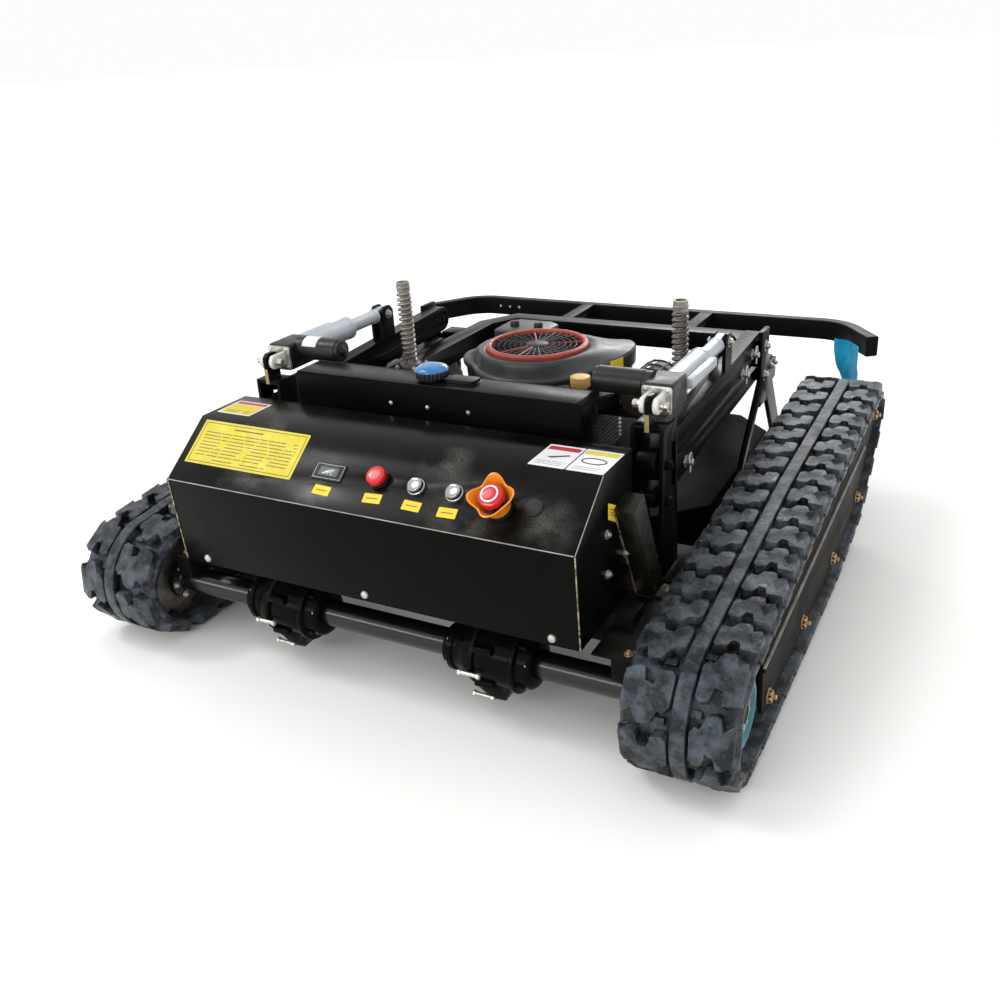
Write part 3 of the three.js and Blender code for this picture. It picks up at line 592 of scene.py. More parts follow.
def on_loop(distance, height):
    """A point at a distance along the inside of the track, lifted by a height above it."""
    distance %= LOOP_LENGTH
    for y, z, radius, start, turn, length in RUNS:
        if distance <= length:
            break
        distance -= length
    angle = start + (distance / radius if turn else 0)
    ahead = 0 if turn else distance
    reach = radius + height
    return (y + reach * math.cos(angle) - ahead * math.sin(angle),
            z + reach * math.sin(angle) + ahead * math.cos(angle))


def stations(step):
    """Distances along the loop, close together where it bends and at the ends of each straight run."""
    found = []
    travelled = 0
    for *_, turn, length in RUNS:
        pieces = max(1, math.ceil(length / (step if turn else 8 * step)))
        found += [travelled + length * i / pieces for i in range(pieces)]
        travelled += length
    return found


# One lug seen from above: (u, v) with u inward from the lug's own edge of the track and v along it.
LUG_TOP = ((3, -19), (18, -24), (26, -24), (30, -12), (41, -10), (46, -23), (59, -25), (65, -21), (65, 7),
           (58, 13), (52, 11), (47, 17), (43, 24), (30, 26), (24, 24), (19, 13), (8, 19), (3, 13))
LUG_WIDTH = 65
LUG_GAP = 4  # between a lug and the middle band
LUG_EDGE = 10  # width over which a lug slopes down to the edge of the track
LUG_SLOPE = 6
LUG_DISH = 1.3


def lug(side, edge, inward, distance):
    """One tread block, bent along the loop."""
    centre_u = sum(u for u, _ in LUG_TOP) / len(LUG_TOP)
    top = TRACK["carcass"] + TRACK["lug"]
    rows = []
    scale = (min(abs(edge - x) for x in BAND) - LUG_GAP) / LUG_WIDTH
    base = TRACK["carcass"]
    for height, spread in ((base - 2, 1.12), (base + 4, 1.07), (top, 1), (top - LUG_DISH, 0.6)):
        row = []
        for u, v in LUG_TOP:
            across = scale * (centre_u + (u - centre_u) * (1 + (spread - 1) * (0.4 if spread > 1 else 1)))
            drop = LUG_SLOPE * max(0, LUG_EDGE - u) / LUG_EDGE if height > TRACK["carcass"] + 5 else 0
            y, z = on_loop(distance + inward * v * spread, height - drop)
            row.append((side * (edge + inward * across), y, z))
        rows.append(row)
    return Shape().loft(rows)


def strip(side, x, heights, step=6.0):
    """A band of rectangular section round the whole loop."""
    (x0, x1), (low, high) = x, heights
    cut = (x1 - x0) * 0.03 + 0.6
    section = ((x0, low), (x1, low), (x1, high - cut), (x1 - cut, high), (x0 + cut, high), (x0, high - cut))
    rows = [[(side * u, *on_loop(s, h)) for u, h in section] for s in stations(step)]
    return Shape().loft(rows, closed=True)


def track_piece(name, side):
    """Carcass, middle band, two staggered rows of lugs, low ribs between them and edge nubs."""
    shape = strip(side, (TRACK["inner"], TRACK["outer"]), (0, TRACK["carcass"]))
    shape.join(strip(side, BAND, (TRACK["carcass"] - 1, TRACK["carcass"] + TRACK["lug"] - 0.6)))
    step = LOOP_LENGTH / LUGS
    for i in range(LUGS):
        rows = ((TRACK["inner"], 1, i * step), (TRACK["outer"], -1, (i + 0.5) * step))
        for edge, inward, distance in rows:
            shape.join(lug(side, edge, inward, distance))
            u = sorted((edge + inward * 44, edge + inward * 62))
            rib = [[(side * x, *on_loop(distance + inward * v, h)) for x, h in
                    ((u[0], 11), (u[1], 11), (u[1] - 2, 19), (u[0] + 2, 19))] for v in (19, 26)]
            shape.join(Shape().loft(rib))
            nub = [[(side * (edge + inward * x), *on_loop(distance + v, h)) for x, h in
                    ((3, 1.5), (-2.2, 3), (-2.2, 9), (3, 11))] for v in (-17, -14, 14, 17)]
            shape.join(Shape().loft(nub))
    return build(f"track_tread_{name}", shape, RUBBER, "chassis", (f"track_{name}",), 1.3, 2)


def wheel_lathe(centre, profile, side, segments):
    """A lathe about x of [radius, distance from the middle plane], on one side."""
    return Shape().turned("x", centre, [(radius, side * x) for radius, x in profile], segments)


def roller_piece(node, side):
    """A flanged steel wheel with a waist."""
    y, z = pivot(f"{node}_turn")
    low, high = span(node, 2)
    radius = (high - low) / 2
    x0, x1 = WHEEL_X
    profile = [(8.6, x0), (radius - 5, x0), (radius, x0 + 4), (radius, x0 + 30), (radius - 7, x0 + 34),
               (radius - 7, x1 - 34), (radius, x1 - 30), (radius, x1 - 4), (radius - 5, x1), (8.6, x1)]
    build(f"{node}_wheel", wheel_lathe((y, z), profile, side, 40), STEEL, node, (node,))


def sprocket_pieces(name, side):
    """The toothed drum, its teal rim, the pale dished wheel and the black hub with its bolts."""
    node = f"sprocket_{name}"
    centre = pivot(f"{node}_turn")
    refined(node, STEEL, node, 1.2)
    face = WHEEL_X[1]
    rim = raised(((43.8, 1), (45.6, 3), (45.6, 10), (43.5, 11.2), (38, 11.2), (35.5, 8), (35.5, 1)), face)
    build(f"{node}_rim", wheel_lathe(centre, rim, side, 56), TEAL, node)
    dish = raised(((0, -8), (35.2, -8), (35.2, 6), (31, 6), (25, -3), (0, -3)), face)
    build(f"{node}_dish", wheel_lathe(centre, dish, side, 48), PALE_WHEEL, node)
    hub = raised(((0, -4), (19, -4), (19, 5), (16.5, 9), (9, 9.6), (0, 9.6)), face)
    build(f"{node}_hub", wheel_lathe(centre, hub, side, 36), SATIN, node)
    nuts = Shape()
    for nut in circle(centre, 13.5, 5):
        nuts.join(hexagon("x", nut, 4.4, (side * (face + 8.5), side * (face + 11)), 0.4))
    build(f"{node}_nuts", nuts, ZINC, node)


def track_frame_pieces(name, side):
    """The side plates, rusty axle nuts outside the wheels, and a pale painted highlight along the top edge
    of the outer rib.
    """
    refined(f"track_frame_{name}", PLATE, "chassis", 0.8)
    nuts = Shape()
    base = side * OUTER_PLATE
    for wheel in FREE_WHEELS:
        centre = pivot(f"{wheel}_{name}_turn")
        nuts.rod("x", centre, 11, (base, base + side * 1.6), 28, 0.4)
        nuts.join(hexagon("x", centre, 16.4, (base + side * 1.6, base + side * 6.4), 1.2))
        nuts.rod("x", centre, 3.6, (base + side * 6, base + side * 12), 16, 0.8)
    build(f"axle_nuts_{name}", nuts, BRASS, "chassis")
    # Painted highlight: a pale strip along the top edge of the outer rib.
    edge = Shape().prism("x", ((66, 125.5), (760, 167.5), (760, 169.3), (66, 127.3)),
                         (base + side * 0.4, base + side * 4.2))
    build(f"rib_edge_{name}", edge, PAINTED_HIGHLIGHT_LINE, "chassis", (), 0.3)


for side_name, side_sign in SIDES:
    track_piece(side_name, side_sign)
    sprocket_pieces(side_name, side_sign)
    track_frame_pieces(side_name, side_sign)
    for free_wheel in FREE_WHEELS:
        roller_piece(f"{free_wheel}_{side_name}", side_sign)


# ---------------------------------------------------------------- rear axle and gear motors

AXLE_LINE = pivot("sprocket_left_turn")
GEAR_START = {"left": -248, "right": 108}
GEAR_PROFILE = ((20.3, 0), (29, 0), (30, 1), (30, 9), (36, 9.5), (36, 17), (33, 17.5), (33, 26), (35, 30),
                (42, 42), (42, 110), (40, 111), (46, 111.6), (46.6, 113), (46.6, 117), (46, 118.4),
                (38, 119), (37, 121), (37, 134), (33, 139), (24, 140), (20.3, 140))


def gear_motor_pieces(name):
    """A turned housing with a sump, a clamp band with two bolts, and screws in both end flanges."""
    start = GEAR_START[name]
    y, z = AXLE_LINE
    shape = Shape().turned("x", AXLE_LINE, raised(GEAR_PROFILE, start), 64)
    build(f"gear_housing_{name}", shape, GLOSS, "chassis", (f"gear_motor_{name}",), 0.5, 1)
    sections = ((40, 30, 40), (52, 26, 58), (66, 24, 69), (88, 20, 69), (96, 26, 52), (103, 30, 40))
    rows = []
    for d, half, depth in sections:
        outline = ((y - half, z - 20), (y - half * 0.9, z - depth + 14), (y - half * 0.55, z - depth),
                   (y + half * 0.55, z - depth), (y + half * 0.9, z - depth + 14), (y + half, z - 20))
        rows.append([(start + d, u, v) for u, v in outline])
    build(f"gear_sump_{name}", Shape().loft(rows), GLOSS, "chassis", (), 2.2, 3)
    flats = Shape()
    for angle in (40, 140, 220):
        u, v = around(AXLE_LINE, 42, math.radians(angle))
        flats.block((start + 56, start + 86), (u - 9, u + 9), (v - 5, v + 5))
    build(f"gear_bosses_{name}", flats, GLOSS, "chassis", (), 2.0, 3)
    band = raised(((42.2, 49), (45, 49), (45.6, 50), (45.6, 55), (45, 56), (42.2, 56)), start)
    build(f"clamp_band_{name}", Shape().turned("x", AXLE_LINE, band, 64), SATIN, "chassis")
    bolts = Shape()
    for v, u in ((z - 8, y - 49), (z - 66, y - 14)):
        bolts.rod("x", (u, v), 3.1, (start + 40, start + 72), 14, 0.6)
        for offset in (37, 66):
            bolts.join(hexagon("x", (u, v), 8, (start + offset, start + offset + 5)))
    for angle in range(15, 375, 60):
        bolts.join(screw_head("x", around(AXLE_LINE, 33.5, math.radians(angle)), start + 9.5, -1, 2.6),
                   screw_head("x", around(AXLE_LINE, 34.5, math.radians(angle + 20)), start + 133, 1, 2.8))
    build(f"gear_screws_{name}", bolts, ZINC, "chassis")
    straps = Shape()
    for angle in range(30, 390, 90):
        place_on_flange = around(AXLE_LINE, 38.5, math.radians(angle))
        straps.rod("x", place_on_flange, 3.6, (start + 118, start + 131), 16, 0.8)
    build(f"gear_lugs_{name}", straps, GLOSS, "chassis")


def axle_pieces():
    """The axle tube with welded end flanges and their bolts."""
    end, flange = span("axle_tube", 0)[1], 398
    half = [(20, flange - 4), (21, flange - 1), (34, flange), (34, end), (14, end)]
    profile = [(radius, -x) for radius, x in reversed(half)] + half
    build("axle_tube_finished", Shape().turned("x", AXLE_LINE, profile, 64), TUBE, "chassis", ("axle_tube",),
          0.6, 2)
    bolts = Shape()
    for side in (-1, 1):
        for u, v in circle(AXLE_LINE, 27.5, 6):
            bolts.join(bolt("x", (u, v), side * flange, -side, 7, 4))
    build("axle_flange_bolts", bolts, ZINC, "chassis")


axle_pieces()
for side_name, _ in SIDES:
    gear_motor_pieces(side_name)


# ---------------------------------------------------------------- main frame, control box and tank

def seam(points, radius=0.9):
    """A thin raised line along an edge."""
    return Shape().tube(points, radius, 6)


def floor_plates():
    """Step plates on the rails beside the control box, with their bolts."""
    plates, bolts = Shape(), Shape()
    for _, side in SIDES:
        x = mirrored(side, 334, 393)
        plates.block(x, (-24, 136), (150.3, 152.8))
        plates.block(x, (244, 300), (154.3, 156.0))
        for y in (-8, 118):
            bolts.join(bolt("z", (side * 380, y), 152.8, 1, 8))
    build("floor_plates", plates, DUSTY_SHEEN, "chassis", (), 0.5)
    build("floor_bolts", bolts, BRASS, "chassis")


def box_pieces():
    """The folded shell with chipped corner seams, pale fold lines that are painted highlights, and its
    visible bolts.
    """
    refined("control_box", PANEL, "chassis", 1.6, 3)
    refined("control_box_back", SATIN, "chassis", 0.5)
    refined("battery", PLASTIC, "chassis", 4.0, 3)
    # The corner seams are chipped paint; the fold lines are painted highlights.
    seams, fold = Shape(), Shape()
    for _, side in SIDES:
        x = side * (BOX_HALF - 0.3)
        seams.join(seam([(x, -50.2, 172), (x, -53.8, 240), (x, -57.3, 308.6)], 0.95))
        fold.join(seam([(x, -57.0, 309.8), (x, 33.6, 377.9)], 0.6))
    build("box_seams", seams, CHIPPED, "chassis")
    fold.join(seam([(-BOX_HALF + 2, -57.2, 309.3), (0, -57.2, 309.3), (BOX_HALF - 2, -57.2, 309.3)], 0.7))
    build("box_folds", fold, PAINTED_HIGHLIGHT_LINE, "chassis")
    bolts = Shape()
    front = -50.7
    for x in (-288, 3, 293):
        bolts.join(screw_head("y", (x, 181.4), front, -1, 6.2))
    for y, z in ((39.6, 293.7), (102, 295), (100.6, 237), (39.7, 235.5)):
        for _, side in SIDES:
            bolts.join(bolt("x", (y, z), side * BOX_HALF, side, 8.5))
    build("box_bolts", bolts, ZINC, "chassis")


def brace_pieces():
    for name, side in SIDES:
        refined(f"box_brace_{name}", OLIVE, "chassis", 1.2)
        edge = seam([(side * 333.2, 62.4, 317), (side * 333.2, 140, 153)], 1.4)
        build(f"brace_edge_{name}", edge, CHIPPED, "chassis")
        bolts = bolt("z", (side * 376, 158), 156, 1, 8)
        build(f"brace_bolt_{name}", bolts, BRASS, "chassis")


def tank_pieces():
    """The tank with its welded top edge, wide cap, pad and bolts."""
    refined("fuel_tank", GLOSS, "chassis", 1.8, 3)
    half = span("fuel_tank", 0)[1]
    (y0, y1), top = span("fuel_tank", 1), 421
    lip = Shape()
    for y in (y0 - 0.2, y1 + 0.2):
        lip.join(seam([(-half + 5, y, top - 0.4), (0, y, top - 0.4), (half - 5, y, top - 0.4)], 0.8))
    build("tank_seams", lip, SATIN, "chassis")
    bolts = Shape()
    for x in (-68, -3, 67):
        bolts.join(screw_head("y", (x, 386.5), y0, -1, 3.6))
    build("tank_bolts", bolts, ZINC, "chassis")
    pad = Shape().prism("z", rounded((22, 68), (176, 200), 5), (top + 5.1, top + 7.2))
    build("tank_pad", pad, PLASTIC, "chassis", (), 0.7)
    low = span("fuel_cap", 2)[0]
    collar = Shape().prism("z", knurled(FILLER, 24.6, 22.9), (low + 0.5, low + 13))
    build("fuel_cap_collar", collar, PLASTIC, "fuel_cap", ("fuel_cap",), 0.4, 1)
    rows = []
    for t in range(10):
        lift = t / 9
        row = []
        for a in angles(72):
            fold = 1 + 0.028 * math.sin(5 * a + 1) + 0.02 * math.sin(13 * a) * (1 - lift)
            radius = 25.6 * math.sqrt(max(0.0, 1 - lift ** 2.2)) * fold
            dip = 0.6 * math.sin(3 * a) * math.sin(math.pi * lift)
            row.append((*around(FILLER, radius, a), low + 12 + 9 * lift + dip))
        rows.append(row)
    build("fuel_cap_film", Shape().loft(rows), BLUE, "fuel_cap")


refined("main_frame", DUSTY_SHEEN, "chassis", 1.2)
floor_plates()
box_pieces()
brace_pieces()
tank_pieces()


# ---------------------------------------------------------------- labels and panel controls

def panel(shape):
    """A shape made as (across, up the slope, out of it), laid on the sloping panel."""
    matrix = Matrix.Translation((0, *PANEL_FOOT)) @ Matrix.Rotation(PANEL_ANGLE, 4, "X")
    return shape.moved(matrix)


def panel_turned(name, centre, profile, look, body="chassis", nodes=()):
    """A turned piece that stands square on the sloping panel."""
    build(name, panel(Shape().turned("z", centre, profile)), look, body, nodes)


def flat_top(shape):
    """A shape made as (x, y, height), laid on the flat top of the control box."""
    return shape.moved(Matrix.Translation((0, 0, BOX_TOP)))


def print_lines(u, v, rows, height, seed):
    """Plain dashes in rows, standing for small print, with lengths spread by a fixed formula."""
    shape = Shape()
    pitch = (v[1] - v[0]) / rows
    for row in range(rows):
        middle = v[1] - (row + 0.5) * pitch
        x = u[0]
        mark = 0
        while x < u[1] - 1:
            share = 0.5 + 0.5 * math.sin(seed + 12.9898 * row + 78.233 * mark)
            length = min(pitch * (1.6 + 4.6 * share), u[1] - x)
            if share > 0.08:
                shape.block((x, x + length), (middle - pitch * 0.1, middle + pitch * 0.1), height)
            x += length + pitch * 0.45
            mark += 1
    return shape


def border(u, v, width, height):
    """A thin rectangular line."""
    shape = Shape()
    for x in (u[0], u[1] - width):
        shape.block((x, x + width), v, height)
    for y in (v[0], v[1] - width):
        shape.block((u[0] + width, u[1] - width), (y, y + width), height)
    return shape


LABEL = (0.05, 0.5)
PRINT = (0.4, 0.62)


def sheet_pieces():
    """The large yellow instruction sheet, with a heading and rows of dashes."""
    u, v = (-319, -120), (33.5, 108)
    build("instruction_sheet", panel(Shape().prism("z", rounded(u, v, 1.5), LABEL)), YELLOW_LABEL, "chassis")
    marks = border((u[0] + 4, u[1] - 4), (v[0] + 3.5, v[1] - 3.5), 1.0, PRINT)
    marks.join(print_lines((u[0] + 62, u[1] - 60), (v[1] - 15, v[1] - 6), 1, PRINT, 2.0),
               print_lines((u[0] + 12, u[1] - 12), (v[0] + 13, v[1] - 17), 8, PRINT, 0.4),
               print_lines((u[0] + 36, u[1] - 52), (v[0] + 6, v[0] + 12), 1, PRINT, 5.0))
    build("instruction_print", panel(marks), DARK_PRINT, "chassis")


def small_label_pieces():
    """Yellow strips under the controls, and one on each side plate."""
    strips, marks = Shape(), Shape()
    for i, (x, s, lean) in enumerate(((-60, 26.7, -2), (24, 28, 3), (87, 27.4, -1.5), (142, 26.7, 2))):
        tilt = Matrix.Translation((x, s, 0)) @ Matrix.Rotation(math.radians(lean), 4, "Z")
        strips.join(panel(Shape().prism("z", rounded((-14, 14), (-7.2, 7.2), 1), LABEL).moved(tilt)))
        marks.join(panel(print_lines((-9, 9), (-3, 3), 1, PRINT, i).moved(tilt)))
    for _, side in SIDES:
        corner = ((46, 335), (86, 313), (85, 289), (45, 312))
        x = mirrored(side, BOX_HALF + 0.05, BOX_HALF + 0.5)
        strips.prism("x", corner, x)
        for t in (0.3, 0.5, 0.7):
            line = ((50, 332 - 20 * t), (81, 315 - 20 * t), (81, 313.6 - 20 * t), (50, 330.6 - 20 * t))
            marks.prism("x", line, mirrored(side, BOX_HALF + 0.45, BOX_HALF + 0.62))
    build("small_labels", strips, ORANGE_LABEL, "chassis")
    build("small_print", marks, DARK_PRINT, "chassis")


def top_label_pieces():
    """Three pictogram labels on the flat top: bars, a loop and a plain tool shape."""
    white, yellow, red, dark = Shape(), Shape(), Shape(), Shape()
    y0, y1 = 35, 107
    for x0, x1 in ((225, 277), (279, 331)):
        white.prism("z", rounded((x0, x1), (y0, y1), 1.5), LABEL)
    white.prism("z", rounded((-322, -258), (y0 + 19, y1), 1.5), LABEL)
    yellow.block((-319, -261), (y0 + 22, y1 - 14), PRINT)
    yellow.block((281, 329), (y1 - 17, y1 - 4), PRINT)
    red.block((228, 274), (y1 - 17, y1 - 5), PRINT)
    red.block((-319, -261), (y1 - 12, y1 - 3), PRINT)
    dark.join(print_lines((230, 272), (y0 + 5, y0 + 20), 3, PRINT, 3.1),
              print_lines((284, 326), (y0 + 5, y0 + 17), 2, PRINT, 1.7),
              print_lines((-312, -268), (y0 + 24, y0 + 36), 3, (0.55, 0.75), 0.9))
    loop = [(304 + 17 * math.cos(a), 70 + 9 * math.sin(a), 0.5) for a in angles(36)]
    dark.tube(loop, 1.0, 6, closed=True)
    dark.prism("z", ((238, 66), (252, 72), (266, 79), (268, 75), (256, 69), (246, 63)), PRINT)
    for name, shape, look in (("white_labels", white, WHITE_LABEL), ("yellow_label", yellow, YELLOW_LABEL),
                              ("red_bars", red, RED_PRINT), ("top_print", dark, DARK_PRINT)):
        build(name, flat_top(shape), look, "chassis")


def meter_pieces():
    """The hour meter: a bevelled case, a grey window and three pale keys."""
    u, v = (-87, -35.5), (42, 69.5)
    case = Shape().prism("z", rounded(u, v, 2.5), (0.05, 1.9))
    build("meter_case", panel(case), PLASTIC, "chassis", (), 0.6, 2)
    window = Shape().prism("z", rounded((u[0] + 10, u[1] - 10), (v[0] + 7, v[1] - 7), 1.5), (1.8, 2.2))
    build("meter_window", panel(window), LCD, "chassis", (), 0.2)
    digits = border((u[0] + 2.5, u[1] - 2.5), (v[0] + 2.5, v[1] - 2.5), 0.7, (1.8, 2.1))
    digits.join(print_lines((u[0] + 14, u[1] - 14), (v[1] - 5.5, v[1] - 3.5), 1, (1.8, 2.1), 2.6))
    build("meter_marks", panel(digits), LCD, "chassis")
    keys = Shape()
    for x in (-68, -61.5, -55):
        keys.join(screw_head("z", (x, v[0] + 9.5), 2.1, 1, 1.1))
    build("meter_keys", panel(keys), ZINC, "chassis")


def button_pieces():
    """Push buttons with their bezels, and a blind plug."""
    bezel = ((0, 0.1), (14.8, 0.1), (14.6, 0.5), (0, 0.5))
    red_place = (21, 58)
    panel_turned("red_bezel", red_place, bezel, PLASTIC)
    cap = ((0, 4.8), (13.4, 4.8), (14.2, 5.4), (14.2, 10), (13.4, 12), (11.6, 12.8), (5, 13.1), (0, 13.1))
    panel_turned("red_button_cap", red_place, cap, RED, "red_button", ("red_button",))
    rings = Shape()
    for name, x in (("left", 82.5), ("right", 141.5)):
        centre = (x, 55.7)
        rings.turned("z", centre, ((11, 0.1), (12.8, 0.1), (12.6, 2.2), (11.6, 3), (11, 2.7)))
        dished = ((0, 4.4), (10.2, 4.4), (10.6, 5.2), (10.4, 8.2), (9.2, 9.2), (8, 8.2), (5, 7.4), (0, 7.2))
        node = f"silver_button_{name}"
        panel_turned(f"silver_cap_{name}", centre, dished, POLISHED, node, (node,))
    build("silver_bezels", panel(rings), ZINC, "chassis")
    plug = ((0, 0.1), (12.6, 0.1), (12.6, 1.6), (11.6, 2.8), (8.6, 3.2), (0, 3.2))
    panel_turned("blind_plug", (257.6, 55), plug, PLASTIC)


def stop_pieces():
    """The mushroom button, its pale ring, and the four-petalled guard round it."""
    x, s = 213, 45
    head = ((0, 16), (8, 16), (8, 27.4), (15.2, 27.8), (17, 29.4), (17.3, 34), (16.2, 38), (12.8, 40.4),
            (6, 41.2), (0, 41.3))
    panel_turned("stop_head", (x, s), head, RED, "stop_button", ("stop_button",))
    ring = ((9.8, 40.6), (11.6, 40.2), (12, 41.1), (10.8, 41.7), (9.8, 41.5))
    panel_turned("stop_ring", (x, s), ring, WHITE_LABEL, "stop_button")
    petals, start = 4, math.radians(12)
    outer, inner = [], []
    for t in range(13):
        lift = t / 12
        for rows, wall in ((outer, 1.1), (inner, -1.1)):
            row = []
            for a in angles(96):
                petal = math.cos(petals / 2 * (a - start)) ** 2
                radius = 16 + wall + (7 + 8 * petal) * lift ** 1.4
                row.append((*around((x, s), radius, a), 8 + (24 + 6 * petal) * lift ** 0.9))
            rows.append(row)
    guard = Shape().loft(outer + inner[::-1], closed=True)
    build("stop_guard_petals", panel(guard), ORANGE, "chassis", ("stop_guard",))
    base = ((8.8, 0.5), (17, 0.5), (17, 3), (14.6, 3.4), (14.6, 10), (8.8, 10))
    panel_turned("stop_base", (x, s), base, PLASTIC)


sheet_pieces()
small_label_pieces()
top_label_pieces()
meter_pieces()
button_pieces()
stop_pieces()


# ---------------------------------------------------------------- lifting linkage

def pin_clip(point, side):
    """A plated pin that stands out of a side face, with a washer and a spring clip through it."""
    x, y, z = point
    shape = Shape()
    shape.rod("x", (y, z), 9.5, (x, x + side * 1.6), 24, 0.4)
    shape.rod("x", (y, z), 5.2, (x + side * 1.2, x + side * 13), 20, 1.0)
    middle = x + side * 8
    loop = [(middle, y + 9 * math.cos(a) * 0.75, z + 4 + 11 * math.sin(a))
            for a in (math.radians(-80 + 28 * k) for k in range(11))]
    shape.tube([(middle, y - 1, z - 16), (middle, y, z - 7)] + loop, 1.5, 8)
    return shape


def linkage_pieces(name, side):
    """Plates with rounded edges, pivot bolts, and the clips on the pins."""
    refined(f"lift_bracket_{name}", GLOSS, "chassis", 1.2)
    refined(f"lift_arm_{name}", GLOSS, "lift_arms", 2.0, 3)
    refined(f"lower_link_{name}", SATIN, "lower_links", 1.4)
    refined(f"deck_leg_{name}", GLOSS, "deck", 1.0)
    bracket_bolts = Shape()
    for joint in ("deck_lift", "lower_link_swing"):
        bracket_bolts.join(bolt("x", pivot(joint), side * BRACKET_FACE, side, 13, 7))
    build(f"bracket_bolts_{name}", bracket_bolts, SATIN, "chassis")
    strip = Shape().block(mirrored(side, 328.5, 335), (185.2, 186.2), (380, 405))
    build(f"bracket_tape_{name}", strip, TAPE, "chassis")
    arm_face = side * ARM_X[1]
    clips = pin_clip((arm_face, 669, 352), side).join(pin_clip((arm_face, 609, 334), side))
    build(f"arm_clips_{name}", clips, ZINC, "lift_arms")
    build(f"link_clip_{name}", pin_clip((side * LINK_FACE, 322, 285), side), ZINC, "lower_links")
    leg_bolts = Shape()
    y, z = pivot("deck_level")
    for centre in ((y, z), (y, z - LINK_DROP)):
        leg_bolts.join(bolt("x", centre, side * LEG_FACE, side, 13, 7))
    for centre in ((766, 303), (792, 303)):
        leg_bolts.join(bolt("x", centre, side * LEG_FACE, side, 8))
    build(f"leg_bolts_{name}", leg_bolts, ZINC, "deck")


TUBE_PROFILE = ((13.6, 100), (20, 100), (20, 86), (20.6, 86), (20.6, 92), (19.6, 93), (19.6, 206),
                (20.4, 206.5), (20.4, 213), (17, 215), (13.6, 215))
MOTOR_PROFILE = ((0, 0), (14, 0), (17.5, 1), (18, 6), (19.5, 6.5), (19.5, 76), (18.4, 77), (18.4, 88),
                 (0, 88))


def actuator_pieces(name, side):
    """Gearbox, cross motor, clevis plate with a nylon eye, outer tube with its rail, and the rod."""
    x, z, rear = side * ACTUATOR["x"], ACTUATOR["z"], ACTUATOR["rear"]
    body, node = f"actuator_{name}", f"actuator_body_{name}"
    case = Shape().prism("y", rounded((x - 22.5, x + 22.5), (z - 22, z + 22), 5), (rear + 25, rear + 86))
    build(f"{node}_case", case, CASE, body, (node,), 2.6, 3)
    centre, inner = (rear + 57, z + 10), 226
    profile = raised(MOTOR_PROFILE, inner)
    motor = wheel_lathe(centre, profile if side > 0 else profile[::-1], side, 48)
    motor.join(screw_head("x", centre, side * inner, -side, 6))
    build(f"{node}_motor", motor, CASE, body)
    plate = Shape().prism("y", rounded((x - 22, x + 22), (z - 21, z + 19), 4), (rear + 21.5, rear + 25.2))
    for u, v in ((-16, -15), (16, -15), (-16, 14), (16, 14)):
        plate.join(screw_head("y", (x + u, z + v), rear + 21.6, -1, 3.2))
    plate.rod("x", (rear, z), 5.8, (x - 20, x + 20), 20, 0.8)
    for ends in ((x - 26, x - 19.5), (x + 19.5, x + 25)):
        plate.join(hexagon("x", (rear, z), 11, ends))
    build(f"{node}_clevis", plate, ZINC, body, (), 0.5)
    eyes = Shape()
    for a, b in ((-13.5, -6), (6, 13.5)):
        rows = []
        for u in (a, b):
            rows.append([(x + u, v, w) for v, w in
                         [(rear + 23, z - 11)] + arc((rear, z), 13, -120, -240, 12) + [(rear + 23, z + 11)]])
        eyes.loft(rows)
    build(f"{node}_eyes", eyes, NYLON, body, (), 1.2, 2)
    build(f"{node}_tube", Shape().turned("y", (x, z), raised(TUBE_PROFILE, rear)), SILVER, body)
    rail = Shape().prism("y", rounded((x + side * 26 - 6.5, x + side * 26 + 6.5), (z - 2, z + 13), 3),
                         (rear + 84, rear + 196))
    build(f"{node}_rail", rail, SILVER, body, (), 0.8, 2)
    if side < 0:
        label = Shape()
        for k in range(-3, 4):
            a, b = math.radians(112 + 11 * k), math.radians(112 + 11 * (k + 1))
            corners = [around(centre, r, t) for t, r in ((a, 19.4), (b, 19.4), (b, 19.9), (a, 19.9))]
            label.prism("x", corners, (-296, -268))
        build(f"{node}_label", label, WHITE_LABEL, body)
    rod_body = f"rod_{name}"
    front = ACTUATOR["front"]
    rod = Shape().rod("y", (x, z), 12, (rear + 139, front - 22), 40, 0.6)
    rod.turned("y", (x, z), raised(((12, -30), (13.2, -29.6), (13.2, -25), (12, -24.6)), front), 40)
    build(f"actuator_rod_{name}_bar", rod, SILVER, rod_body)
    refined(f"actuator_rod_{name}", SILVER, rod_body, 0.8)


def rod_nuts(name, side):
    """The nuts on the pin between the ears of an arm."""
    shape = Shape()
    for outward, face in zip((-1, 1), ARM_X):
        end = side * outward
        shape.join(bolt("x", (ACTUATOR["front"], ACTUATOR["z"]), side * face, end, 11, 6))
    build(f"rod_nuts_{name}", shape, ZINC, "lift_arms")


for side_name, side_sign in SIDES:
    linkage_pieces(side_name, side_sign)
    actuator_pieces(side_name, side_sign)
    rod_nuts(side_name, side_sign)


# ---------------------------------------------------------------- deck frame, posts and bumper

